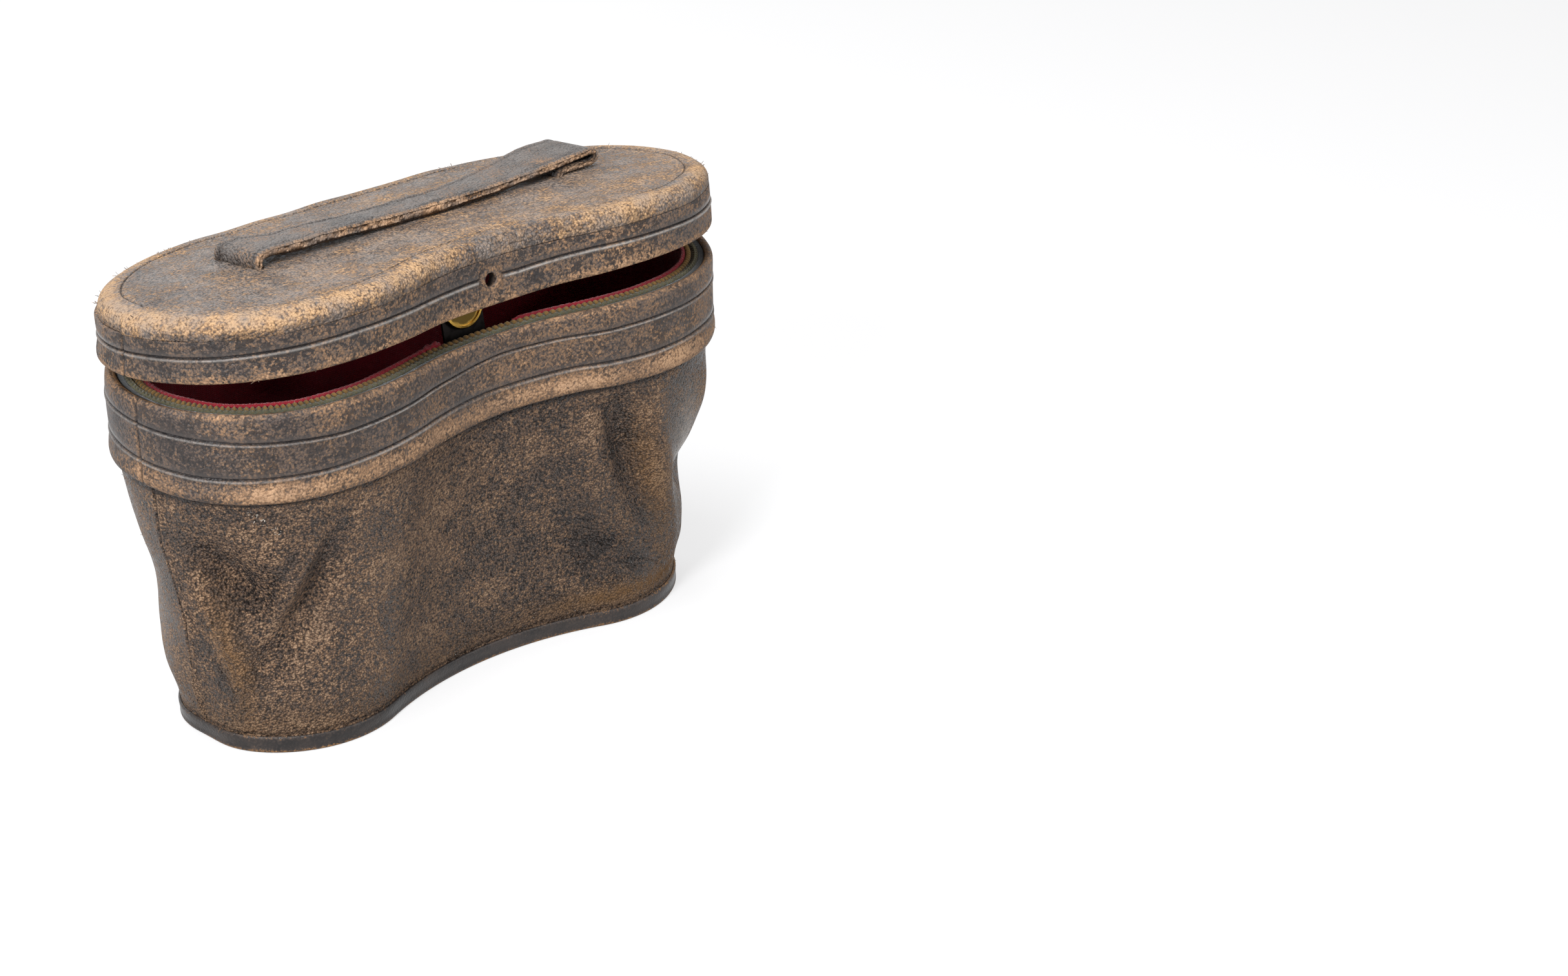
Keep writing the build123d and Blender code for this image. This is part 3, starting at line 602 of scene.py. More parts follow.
# ------------ lower body
def layer(number, s, z, is_outer, shift, foot_swell=0):
    """Points of a layer of the wall, counted from the leather in, with both faces shifted outwards."""
    insets = [np.where(is_outer, *faces[number : number + 2]) - shift for faces in (rim_faces, foot_faces)]
    return wall(s, z, insets[0], insets[1] - foot_swell)


def two_faces(top, rows):
    """Heights from the floor up an outer face and down the inner one, and which are on the outer."""
    up = np.linspace(floor_level, top, rows)
    return np.hstack([up, up[::-1]]), np.arange(2 * rows) < rows


def body_seam(z):
    """Where the body leather's edges meet, along the rim."""
    heights = (0, 3, 10, 18, 26, 33, 40, 50)
    return np.interp(z, heights, (-73, -73, -74.6, -72.6, -70.9, -74.6, -77, -75.6))


def make_body_leather():
    foot_edge, hidden = 0.25, [54, 58, 62, 66.6]
    s = columns(1.0, (-110, 76, 0.34))
    up = np.hstack([np.arange(foot_edge, 4, 0.2), np.arange(4.1, 53, 0.36), hidden])
    z = np.hstack([up, np.linspace(hidden[-1], foot_edge, 40)])
    is_outer = np.arange(len(z)) < len(up)
    shift = sag(s, z)
    gap = s - body_seam(z)
    below = (z < 53) * is_outer
    groove = bell(gap, 0, 0.25) * below
    lip = (bell(gap, 0.8, 0.6) * 0.25 + bell(gap, -0.8, 0.6) * 0.1) * below
    edge_line = bell(z, 3.7 + 0.15 * waves(s, 32, 9, 2), 0.22) * is_outer
    fine = creases(s, z)
    detail = fine * is_outer * ramp(z, 3, 6) + lip - 0.4 * groove - 0.2 * edge_line
    points = layer(0, s, z, is_outer, shift + detail, foot_shift(s) * bell(z, 0, 9))

    hump = 2 * shift - 0.5 * (sag(s - 3, z) + sag(s + 3, z) + sag(s, z - 3) + sag(s, z + 3))
    low_band = bell(z, 6.3, 1.7) * ramp(s, 4, 24) * front(s)
    wear = 0.3 * np.clip(hump * 2.2, -0.7, 0.6) + 0.9 * fine + 0.4 * bell(gap, 0.5, 1.0) * below
    wear = wear + 0.3 * bell(z, 4.6, 1.3) + 0.1 * bell(z, 9, 8) + 0.35 * fold(s, z, 33, 29, 16, 3, -84)
    wear = wear + 0.6 * low_band
    wear = wear + spots(s, z, (0.3, -20, 20, 36, 16), (-0.22, 20, 15, 20, 14), (0.25, 44, 7, 30, 14))
    # the seam's groove and the line above the binding are dark joints, and the wall is black just under the
    # band's bead
    soil = np.clip(0.9 * groove + 0.85 * ramp(z, 50.3, 51.6) + 0.7 * edge_line, 0, 1)
    # painted shade: darker near the foot, most at the middle of the front; the same mark also darkens patches
    # low on the right end and low on the left
    shade = 0.42 * bell(z, 3, 7) * (0.35 + 0.65 * bell(s, 2, 34))
    shade = shade + spots(s, z, (0.3, 24, 15, 21, 15), (0.22, 48, 16, 14, 22))
    shade = shade + 0.15 * (1 - ramp(z, 6, 24)) * ramp(-s, 40, 70) * front(s)
    amber = 0.5 * fold(s, z, -58, 19, 13, 3.6, -62) + 0.5 * fold(s, z, 33, 28, 14, 3, -84)
    amber = amber + 0.2 * bell(z, 5, 4) + 0.8 * low_band
    soil = np.maximum(soil, shade * is_outer)
    # painted highlight: pale grey sheen patches on the right end's ridge and beside the left seam
    shine = spots(s, z, (1.0, 45, 6, 30, 13), (0.3, -88, 9, 30, 22)) * is_outer
    piece = ring("body_shell", points, wear=wear, soil=soil, amber=amber * is_outer, shine=shine)
    dress(piece, body_hide, "case", "body_leather")


def make_card_and_wadding():
    s = columns(2.0)
    z, is_outer = two_faces(band_bottom, 30)
    card_wall = ring("card_wall", layer(1, s, z, is_outer, sag(s, z)))
    dress(card_wall, card, "case", "body_card")
    padding = ring("wadding_wall", layer(2, s, z, is_outer, np.where(is_outer, 1, 0.5) * sag(s, z)))
    dress(padding, wadding, "case", "body_wadding")


def make_lining():
    """Puckered cloth, cut down behind the catch."""
    edge, behind_catch = catch_half_width, 52.4
    s = columns(0.9, (-edge - 1, -edge + 1, 0.2), (edge - 1, edge + 1, 0.2))
    z, is_outer = two_faces(lining_top, 60)
    top = np.where(np.abs(s) < edge, behind_catch, lining_top - waist_drop(s))
    z = floor_level + (z - floor_level) / (lining_top - floor_level) * (top - floor_level)
    pucker = 0.12 * np.sin(2 * pi * s / 5.2 + 2 * np.sin(s / 17)) * ramp(z, 50, 67)
    pucker = pucker + 0.15 * ripple(s, z, 3, 12.0)
    points = layer(3, s, z, is_outer, 0.5 * sag(s, z) - np.where(is_outer, 0, np.abs(pucker)))
    dress(ring("lining_wall", points), lining, "case", "body_lining")


def make_binding():
    heights = np.array([0.02, 0.02, 0.1, 0.35, 0.6, 0.9, 1.5, 2.1, 2.6, 2.95, 3.15, 3.2, 3.2, 3.0, 1.5, 0.3])
    outside = [0.5, 0.25, 0.02, -0.12, -0.12, 0, 0, 0.02, 0.04, 0.1, 0.25, 0.4, 0.5]
    insets = np.array(outside + 3 * [0.52])
    s = columns(1.0)
    z = heights + 0.18 * waves(s, 31, 9, 2) * ramp(heights, 1.2, 2.6)
    points = wall(s, z, insets, insets - foot_shift(s))
    rubbed = (0.3 + 0.7 * ramp(s, 22, 45) * front(s)) * bell(heights, 3.1, 0.5)
    wear = 0.8 * bell(heights, 0.3, 0.35) + rubbed + 0.15 * waves(s, 9)
    burnish = bell(heights, 1.5, 0.8) * (0.3 + 0.2 * waves(s, 10, 8))
    piece = ring("foot_binding", points, wear=wear, burnish=burnish)
    dress(piece, binding_hide, "case", "base_binding")


# ------------ band and mouth
def line_at(s, *stops):
    """Height of a line round the case through given stops; stops are (way, height)."""
    ways, heights = zip(*stops)
    middle = (heights[0] + heights[-1]) / 2
    return np.interp(s, (-125, *ways, 125), (middle, *heights, middle))


def between_lines(z, low, high):
    """Moves plain heights so that those in low fall on those in high, both lists from the bottom up."""
    moved = high[0]
    for i in range(1, len(low)):
        moved = moved + np.clip((z - low[i - 1]) / (low[i] - low[i - 1]), 0, 1) * (high[i] - high[i - 1])
    return moved


# heights round a tooled line at which a strip's section has points
groove_rows = np.array(
    [-1.2, -0.9, -0.7, -0.55, -0.42, -0.32, -0.22, -0.12, -0.04, 0.04, 0.12, 0.22, 0.32, 0.45, 0.7, 1.0]
)


def tooled(z, level):
    """Section of a line pressed in with a hot tool: the groove and the lip below it."""
    return 0.2 * bell(z, level - 0.5, 0.24) - 0.42 * bell(z, level, 0.16)


def make_band():
    """Second leather round the mouth: a bead at its foot, two tooled lines and a rolled top."""
    bead_z = band_bottom + np.array([0, 0.05, 0.2, 0.4, 0.65, 0.95, 1.3, 1.7, 2.2, 2.8])
    roll_z = rim_height - np.array([3.4, 2.8, 2.2, 1.6, 1.1, 0.7, 0.4, 0.15, 0, 0, 0.1, 0.35, 0.8, 1.35])
    outer_z = np.hstack(
        [bead_z, lower_groove + groove_rows, [58.4, 59.4, 60.4, 61.4], upper_groove + groove_rows, roll_z]
    )
    outer = np.interp(
        outer_z,
        [52.2, 52.25, 52.4, 52.6, 53.0, 53.6, 54.4, 55.6, 66.0, 67.1, 67.5, 67.8, 68.05],
        [0.8, 0.45, 0.1, -0.15, -0.38, -0.46, -0.36, -0.1, 0.0, 0.05, 0.16, 0.32, 0.55],
    )
    outer[-5:] = [0.85, 1.2, 1.48, 1.66, 1.7]
    inner_z, inner = np.array([[66.75, 1.2], [66.7, 0.92], [60, 0.92], [54, 0.92], [52.3, 0.9]]).T
    plain = np.hstack([outer_z, inner_z])
    face = np.arange(len(plain)) < len(outer_z) - 4
    s = columns(0.6, (-80, -73, 0.25))
    foot = line_at(s, (-100, 51.6), (-78, 52.5), (-63, 51.7), (-16, 51.5), (19, 52.2), (26, 51.7))
    lower = line_at(
        s, (-85, 57.9), (-66, 56.7), (-53, 56.6), (-38, 56.9), (-5, 57.4), (18, 57.4), (34, 56.9), (46, 57.2)
    )
    upper = line_at(
        s, (-84, 64.3), (-60, 63.35), (-39, 62.6), (-12, 63), (1, 63.8), (13, 63.7), (23, 63.35), (46, 63.8)
    )
    levels = [
        foot + 0.1 * waves(s, 4, 12, 5),
        lower + 0.06 * waves(s, 21, 14, 6),
        upper + 0.06 * waves(s, 23, 14, 6),
        rim_height - waist_drop(s),
    ]
    z = between_lines(plain, [band_bottom, lower_groove, upper_groove, rim_height], levels)
    seam = s + 77.2 + 0.05 * (z - 60)
    split = bell(seam, 0, 0.22) * face
    lines = (tooled(plain, upper_groove) + tooled(plain, lower_groove)) * (0.85 + 0.2 * waves(s, 24, 20, 8))
    rise = 0.07 * ripple(s, z, 8, 16.0) * ramp(plain, 52.5, 55) - 0.45 * split
    rise = face * (rise + lines + 0.35 * bell(s, -90, 25) * bell(plain, 62, 7))
    points = wall(s, z, np.hstack([outer, inner]) - rise)

    is_roll = plain > 67.3
    across = np.hstack([outer, np.full(len(inner), 2.0)])
    bead = bell(plain, 54.0, 1.7) * (0.26 + 0.36 * ramp(s, -66, -50) * front(s) + 0.15 * waves(s, 7, 9, 3))
    wear = bead + 0.22 * is_roll + 0.14 * ripple(s, z, 6, 14.0) + 0.3 * bell(seam, -0.6, 0.8) * face
    # painted shade: the band is darker towards its left end, by lowering the wear mark there
    dark_left = 0.3 * (1 - ramp(s, -78, -30)) * bell(plain, 60.5, 6)
    # the third mark is a painted highlight: a pale grey line along the lip under each tooled line
    grooves, burnish, shine = (
        bell(plain, upper_groove + up, width) + bell(plain, lower_groove + up, width)
        for up, width in ((0, 0.2), (0.5, 0.5), (-0.42, 0.16))
    )
    piece = ring(
        "band",
        points,
        wear=wear + (0.1 * ramp(s, -20, 20) - dark_left) * front(s),
        amber=0.8 * is_roll * ramp(across, 0.7, 1.4),
        soil=np.clip(0.92 * grooves + split + 0.8 * (plain < 52.5), 0, 1) * face,
        burnish=np.clip(burnish, 0, 1) * face,
        shine=shine * face * (0.55 + 0.3 * waves(s, 25, 10, 3)),
    )
    dress(piece, band_hide, "case", "rim_band")


def make_hoop():
    """Bent wooden hoop under the mouth's trim, which dips with it at the waist."""
    foot, corner, top = 52.3, 66.9, hoop_top - 0.02
    levels = np.array([foot, 60, corner, top, top, corner, 60, foot])
    insets = np.array([1.95, 1.95, 1.95, 2.2, 5.1, 5.35, 5.35, 5.35])
    s = columns(1.2)
    points = wall(s, levels - waist_drop(s) * (levels >= corner), insets + 0.03 * waves(s, 35))
    dress(ring("mouth_hoop", points), hoop_wood, "case", "rim_hoop")


def make_felt():
    insets = np.array([1.75, 1.75, 1.9, 2.3, 2.7, 2.85, 2.85])
    levels = hoop_top + np.array([0, 0.2, 0.28, 0.3, 0.26, 0.16, 0])
    s = columns(0.9)
    points = wall(s, levels + 0.04 * waves(s, 2, 12, 9) - waist_drop(s), insets)
    dress(ring("edge_strip", points), felt, "case", "edge_felt")


def make_braid():
    """Two rows of worked thread: grey-green zigzag outside and ochre beads inside."""
    pitch, outer, inner = 1.25, 2.85, 5.3
    s = np.linspace(-half_round, half_round, int(round(round_length / pitch)) * 9, endpoint=False)[:, None]
    across = np.linspace(0, 1, 17)
    inside = ramp(across, 0.46, 0.52)
    beads = (0.5 + 0.5 * np.cos(2 * pi * (s / pitch + 0.25 * across))) ** 0.6
    zigzag = 0.5 + 0.5 * np.cos(2 * pi * (s / pitch + 0.45 * np.abs(across * 8 % 2 - 1)))
    crown = np.sqrt(np.clip(1 - ((across - 0.76) / 0.26) ** 2, 0, 1)) * inside
    crown = crown + np.sqrt(np.clip(1 - ((across - 0.23) / 0.25) ** 2, 0, 1)) * (1 - inside)
    thread = crown * (0.2 + 0.5 * beads * inside + 0.4 * zigzag * (1 - inside)) + 0.05 * waves(s, 16, 40, 20)
    inset = outer + (inner - outer) * across
    upper = wall(s, hoop_top + 0.1 + thread - waist_drop(s), inset)
    lower = wall(s, hoop_top - waist_drop(s), inset)[:, ::-1]
    ochre = inside * ramp(beads, 0.1, 0.5) + (1 - inside) * 0.3 * zigzag
    # darker where the threads lie low, between crowns and beads, and near-black on the underside
    darker_where_low = (1 - crown) * 0.6 + inside * 0.4 * (1 - beads)
    ochre, soil = np.hstack([ochre, 0 * ochre]), np.hstack([darker_where_low, 0 * darker_where_low + 1])
    piece = ring("rim_braid_work", np.hstack([upper, lower]), ochre=ochre, soil=soil)
    dress(piece, braid_cloth, "case", "rim_braid")


def make_welt():
    """Cloth-covered cord, open at the catch and frayed at its left end there."""
    gap, radius, height, inset = 7.6, 0.52, 67.5, 5.8
    s = np.arange(gap, round_length - gap, 0.28)[:, None]
    turn = np.linspace(0, 2 * pi, 14, endpoint=False)
    from_end = round_length - gap - s
    frayed = bell(from_end, 2.0, 3.2)
    twist = 1 + 0.09 * np.sin(2 * pi * s / 1.3 + turn) + 0.3 * frayed * ripple(s, turn * 2, 17, 1.6)
    r = radius * twist * (0.4 + 0.6 * ramp(np.minimum(s - gap, from_end), 0, 1.4) + 0.75 * frayed)
    level = height + 0.12 * waves(s, 14, 16, 5) - waist_drop(wrap(s))
    points = wall(s, level + r * np.sin(turn), inset - r * np.cos(turn) + 0.1 * waves(s, 15, 12, 5))
    dress(ring("lining_piping", points, open_ends=True), welt_cloth, "case", "lining_welt")


# ------------ lid
def cut(piece, cutters):
    """Takes cutters out of a closed piece."""
    for cutter in cutters:
        step = piece.modifiers.new("cut", "BOOLEAN")
        step.operation, step.solver, step.object = "DIFFERENCE", "EXACT", cutter
        bpy.context.view_layer.objects.active = piece
        bpy.ops.object.modifier_apply(modifier=step.name)
        bpy.data.objects.remove(cutter)


def drum(radius, low, high, sides=40):
    """Cylinder along Y through the stud's place in the shut lid."""
    turn = np.linspace(0, 2 * pi, sides, endpoint=False)
    circle = np.stack([radius * np.cos(turn), 0 * turn, stud_height + radius * np.sin(turn)], -1)
    points = np.stack([circle + [0, low, 0], circle + [0, high, 0]])
    return ring("drum", on_lid(points), open_ends=True)


def slab(low, high):
    """Box between two corners in the shut lid."""
    corners = np.array(list(product(*zip(low, high))))
    faces = [[0, 1, 3, 2], [4, 6, 7, 5], [0, 4, 5, 1], [2, 3, 7, 6], [0, 2, 6, 4], [1, 5, 7, 3]]
    return mesh_piece("slab", on_lid(corners), faces, smooth=False)


def lid_bulge(s, z):
    """The lid's side stands out at its left end, most at its lower edge."""
    return spots(s, z, (1.1, -98, 24, 69.2, 2.4), (0.7, -92, 28, 75, 4), (0.4, -60, 14, 77.5, 2))


def lid_sink(s):
    """How far the top's rolled edge has sunk at the back and at the right end."""
    return 0.6 * ramp(np.abs(wrap(s)), 85, 125) + 0.7 * bell(s, 92, 42)


def make_lid_side():
    """Side strip with a tooled line, pressed in round the stud's hole."""
    edge_z = lid_edge + np.array([0, 0.02, 0.1, 0.25, 0.5, 0.9, 1.5, 2.2, 2.9])
    outer_z = np.hstack([edge_z, lid_groove + groove_rows, [74.4, 74.9, 75.4, 75.8, lap_level]])
    outer = np.interp(outer_z, edge_z[:6], [0.6, 0.38, 0.2, 0.08, 0.01, 0])
    inner_z = [lap_level, 72.0, 69.3, 69.2, 69.2, 68.42, lid_edge]
    inset = np.hstack([outer, [0.98, 0.98, 0.98, 1.2, 2.25, 2.25, 1.5]])
    plain = np.hstack([outer_z, inner_z])
    face = np.arange(len(plain)) < len(outer_z)
    s = columns(0.6, (-82, -75, 0.25), (-5, 5, 0.2))
    line = line_at(s, (-60, 73.1), (-34, 73.5), (-22, 73.1), (6, 72.6), (21, 73.4), (45, 73.1))
    droop = (waist_drop(s) + 0.12 * bell(s, 0, 9)) * (1 - 0.8 * ramp(inset, 0.7, 1.8))
    levels = [lid_edge + 0.02 - droop, line + 0.05 * waves(s, 22, 14, 6), lap_level + 0 * s]
    z = between_lines(plain, [lid_edge, lid_groove, lap_level], levels)
    seam = s + 78.6 - 0.12 * (z - 73)
    split = bell(seam, 0, 0.24) * face
    open_line = ramp(np.abs(s), 2.4, 3.0)
    near_stud = np.hypot(s, z - stud_height)
    pressed = 0.16 * bell(near_stud, 2.65, 0.3) + 0.1 * (1 - ramp(near_stud, 1.2, 2.6))
    rise = 0.07 * ripple(s, z, 18, 16.0) - 0.45 * split - pressed + lid_bulge(s, z)
    rise = face * (rise + tooled(plain, lid_groove) * open_line)

    wear = 0.42 * (1 - ramp(plain, 68.8, 70.2)) + 0.13 * ripple(s, z, 16, 13.0)
    wear = wear + 0.25 * bell(seam, -0.5, 0.8) * face
    # painted shade: the side is darker towards its left end (the bell near -70 mm); it is rubbed round the
    # stud's hole
    wear = wear + 0.3 * bell(near_stud, 1.7, 0.9) - 0.12 * bell(s, -70, 18) + 0.12 * ramp(s, 10, 40)
    dark = 0.92 * bell(plain, lid_groove, 0.2) * open_line + split + 0.5 * bell(near_stud, 2.65, 0.25)
    burnish = bell(plain, lid_groove + 0.5, 0.5) * open_line * face
    # painted highlight: a pale grey line along the lip under the tooled line, stronger towards the right
    shine = bell(plain, lid_groove - 0.44, 0.2) * open_line * face * (0.6 + 0.35 * ramp(s, -45, -20))
    points = on_lid(wall(s, z, inset - rise))
    piece = ring("lid_side", points, wear=wear, soil=np.clip(dark, 0, 1) * face, burnish=burnish, shine=shine)
    cut(piece, [drum(stud_hole_radius, rim.waist_y - 3, rim.waist_y + 4)])
    dress(piece, lid_hide, "lid", "lid_side_leather")


def make_lid_top():
    """Top leather: lap down the side, rolled edge, incised line, and the top drawn in to a spine."""
    quarter, thick, inward = 150, 0.95, 33
    to_right = np.linspace(-end_way, end_way, 2 * quarter, endpoint=False)
    round_back = np.linspace(0, round_length - 2 * end_way, 2 * quarter, endpoint=False)
    s = np.hstack([to_right, end_way + round_back])[:, None]
    angle = np.linspace(-pi / 2, 3 * pi / 2, 4 * quarter, endpoint=False)
    spine = np.stack([37 * np.sin(angle), 0 * angle + strap_y, 0 * angle + lid_top], -1)
    share = np.linspace(0, 1, inward + 1)[1:]
    roll = np.linspace(0, pi / 2, 13)
    flat = np.array([3.3, 3.6, 3.85, 4.05, 4.2, 4.32, 4.42, 4.52, 4.64, 4.8, 5.0, 5.4, 6.0, 6.8])

    def section(depth, lap_insets, lap_rises):
        """Insets and heights from the lap over the roll to the flat, at a depth in the leather."""
        radius = roll_radius - depth
        inset = np.hstack([lap_insets, depth + radius * (1 - np.cos(roll)), flat])
        level = lid_top - roll_radius + radius * np.sin(roll)
        return inset, np.hstack([lap_level + np.array(lap_rises), level, 0 * flat + lid_top - depth])

    def sheet(level, inset, depth):
        edge, ridge = wall(s, level, inset), spine - [0, 0, depth]
        return np.hstack([edge, edge[:, -1:] * (1 - share[:, None]) + ridge[:, None] * share[:, None]])

    inset, level = section(0, [0.3, 0.08, 0, 0], [0, 0.04, 0.25, 0.55])
    line = bell(inset, 4.42 + 0.22 * waves(s, 41), 0.15)
    top = ramp(level, 77.5, lid_top)
    level = level - 0.26 * line + 0.07 * bell(inset, 4.0, 0.3) - lid_sink(s) * top
    rise = lid_bulge(s, level) + 0.1 * ripple(s, level * 2, 28, 14.0)
    rise = rise + spots(s, level, (0.3, -45, 30, 78, 1.2))
    level = level + 0.08 * ripple(s, inset * 2, 29, 16.0) * top
    outer = sheet(level, inset - rise, 0)
    x, y = outer[..., 0], outer[..., 1]
    in_by = np.hstack([0 * inset, share])
    crown = 0.12 * ripple(x, y, 51, 30.0) + 0.05 * ripple(x, y, 52, 9.0)
    outer[..., 2] += crown * ramp(in_by, 0, 0.4) * (1 - ramp(in_by, 0.7, 1.0))
    inner = sheet(*section(thick, [thick], [0])[::-1], thick)

    spread = ((0, 0), (0, inward))
    height, scored = np.pad(level, spread, constant_values=lid_top), np.pad(line, spread)
    here = np.hstack([inset, np.full(inward, 9.0)])
    tan = 0.8 * ramp(-wrap(s), -2, 22) + 0.65 * ramp(wrap(s), 12, 36)
    wear = bell(here, 1.6, 2.0) * ramp(height, 76.6, 77.9) * tan * (0.35 + 0.65 * front(s))
    wear = wear + 0.12 * ripple(x, y, 61, 13.0) + 0.14 * bell(y, -16, 9) * (here > 4)
    # painted shadow: the top is darker in a strip beside the strap, by lowering the wear mark there
    near_strap = bell(np.clip(np.abs(y - strap_y) - strap_width / 2, 0, 9), 0, 6**0.5) * (np.abs(x) < 44)
    wear = wear - 0.12 * bell(x, -48, 22) * (here > 5) - 0.12 * near_strap * (here > 8)
    lap = bell(height, lap_level, 0.12) * ramp(np.abs(s - 45), 40, 30)
    inside = ((0, 0), (0, inner.shape[1]))
    wear, soil = (np.pad(values[:, ::-1], inside) for values in (wear, 0.85 * scored + 0.8 * lap))
    points = np.hstack([outer[:, ::-1], inner])
    faces = grid_faces(*points.shape[:2], close_across=False)
    piece = mesh_piece("lid_cover", on_lid(points), faces, wear=wear, soil=soil)
    face_out(piece.data, weld=1e-6)
    wide = strap_width / 2 + 0.2
    cut(piece, [slab((x - 0.9, strap_y - wide, 70), (x + 0.9, strap_y + wide, 90)) for x in strap_slots])
    dress(piece, top_hide, "lid", "lid_top_leather")


def make_lid_lining():
    insets = np.array([2.32, 2.3, 2.3, 2.7, 2.72, 2.74, 2.72, 2.68, 2.5])
    levels = np.array([68.85, 72, 76.4, 76.4, 74, 72, 70, 68.8, 68.78])
    s = columns(1.0, (-4, 4, 0.4))
    pucker = np.abs(0.05 * ripple(s, levels, 71, 9.0)) * (insets > 2.5)
    piece = ring("lid_wall_cloth", on_lid(wall(s, levels, insets + pucker)))
    cut(piece, [drum(stud_hole_radius, rim.waist_y + 1, rim.waist_y + 4)])
    dress(piece, lining, "lid", "lid_wall_lining")


# ------------ strap
def spline(knots, values, t):
    """Smooth curve through values, with the slopes of a Catmull-Rom spline."""
    slopes = np.gradient(values, knots)
    i = np.clip(np.searchsorted(knots, t) - 1, 0, len(knots) - 2)
    h = knots[i + 1] - knots[i]
    u = (t - knots[i]) / h
    start = values[i] * (1 + 2 * u) * (1 - u) ** 2 + slopes[i] * h * u * (1 - u) ** 2
    return start + values[i + 1] * u**2 * (3 - 2 * u) + slopes[i + 1] * h * u**2 * (u - 1)


def make_strap():
    """Flat strap: out of its left slot, along the lid, and doubled back into its right slot."""
    left, right = strap_slots
    path = np.array([
        (-25, 77.55), (-31, 77.55), (-33.4, 77.7), (left, 78.4), (left, 79.6), (left, 80.8), (-33.4, 81.6),
        (-31.8, 82.0), (-27, 81.95), (-20, 81.9), (-10, 81.5), (0, 81.2), (10, 81.1), (19, 81.2), (27, 81.7),
        (35, 82.3), (41, 82.55), (43.4, 82.5), (44.2, 82.0), (44.2, 81.3), (43.4, 80.75), (41, 80.6),
        (37, 80.55), (35.4, 80.3), (right, 79.6), (right, 78.4), (34.4, 77.7), (32, 77.55), (26, 77.55),
    ])
    chord = np.hstack([[0], np.cumsum(np.linalg.norm(np.diff(path, axis=0), axis=1))])
    t = np.arange(0, chord[-1], 0.4)
    middle = np.stack([spline(chord, path[:, i], t) for i in (0, 1)], -1)
    tangent = np.gradient(middle, axis=0)
    tangent /= np.linalg.norm(tangent, axis=1)[:, None]
    x, z = middle[:, :1], middle[:, 1:]

    # v runs across the strap and w through it, round its section from the left edge
    half_w, half_t, corner = strap_width / 2, strap_thickness / 2, 0.35
    across, side, down = np.linspace(-half_w, half_w, 27), np.full(3, half_w), np.array([0.4, 0, -0.4])
    v = np.hstack([across, side, across[::-1], -side])
    w = np.hstack([half_t + 0 * across, down, -half_t + 0 * across, -down])
    edge = np.clip((np.abs(v) - half_w + corner) / corner, 0, 1)
    w = np.where(np.abs(w) == half_t, np.sign(w) * (half_t - corner * edge**2), w)
    line = bell(np.abs(v), half_w - 1.7, 0.24) * (w > 0.3)
    free = np.interp(t, [0, chord[6], chord[8], chord[15], chord[17], chord[-1]], [0, 0, 1, 1, 0, 0])[:, None]
    curl = free * 0.35 * bell(x, 38, 12) * (v / half_w)
    wrinkle = free * 0.1 * ripple(x * 1.6, v, 81, 5.5)
    narrow = free * np.interp(x, [-34, -26, -8, 12, 26, 38], [0.28, 0.34, 0.4, 0.36, 0.14, 0.0])
    through = (w - 0.28 * line + wrinkle * 0.5 + curl) * (1 + 1.2 * narrow) - 0.35 * narrow
    aside = v * (1 - narrow + 0.012 * waves(t * 2.2, 83, 9, 3)[:, None]) - narrow * half_w
    points = np.stack([x - tangent[:, 1:] * through, strap_y + aside, z + tangent[:, :1] * through], -1)
    wear = 0.9 * bell(np.abs(v), half_w, 0.55) + 0.15 * ripple(x, v, 84, 9.0) - 0.05
    # the incised lines are dark; the underside is painted shade
    soil = np.clip(0.85 * line + 0.6 * (w < -0.5), 0, 1)
    piece = ring("carry_strap", on_lid(points), open_ends=True, wear=wear, soil=soil)
    dress(piece, strap_hide, "lid", "handle_strap")


# ------------ padding and torn fibres
def as_is(points):
    return points


def cushion(name, low, high, inset, crown, seed, place=as_is):
    """Cloth-covered plate inside the outline, crowned on its side at the height called high."""
    s = columns(1.6)
    share = np.linspace(0, 1, 18)
    edge = wall(s, min(low, high, 60), inset)
    flat = edge * (1 - share[:, None]) + np.array([0, 0.5, 0]) * share[:, None]
    flat[..., 2] = low
    rough = 0.07 * ripple(flat[..., 0], flat[..., 1], seed, 13.0) * ramp(share, 0, 0.2)
    puff = crown * (1 - (1 - share) ** 2.2) + rough - 0.25 * bell(share, 0, 0.02)
    crowned = flat.copy()
    crowned[..., 2] = high + (puff if high > low else -puff)
    points = np.hstack([flat[:, ::-1], crowned])
    piece = mesh_piece(name, place(points), grid_faces(*points.shape[:2], close_across=False))
    face_out(piece.data, weld=1e-6)
    return piece


def make_cushions():
    """Padded floor, and the cloth over the inside of the lid's board."""
    pad = cushion("floor_cushion", low=floor_level + 0.05, high=4.6, inset=4.1, crown=0.9, seed=91)
    dress(pad, lining, "case", "floor_pad")
    ceiling = cushion("lid_ceiling_cloth", low=76.85, high=76.3, inset=2.4, crown=0.45, seed=92, place=on_lid)
    dress(ceiling, lining, "lid", "lid_top_lining")


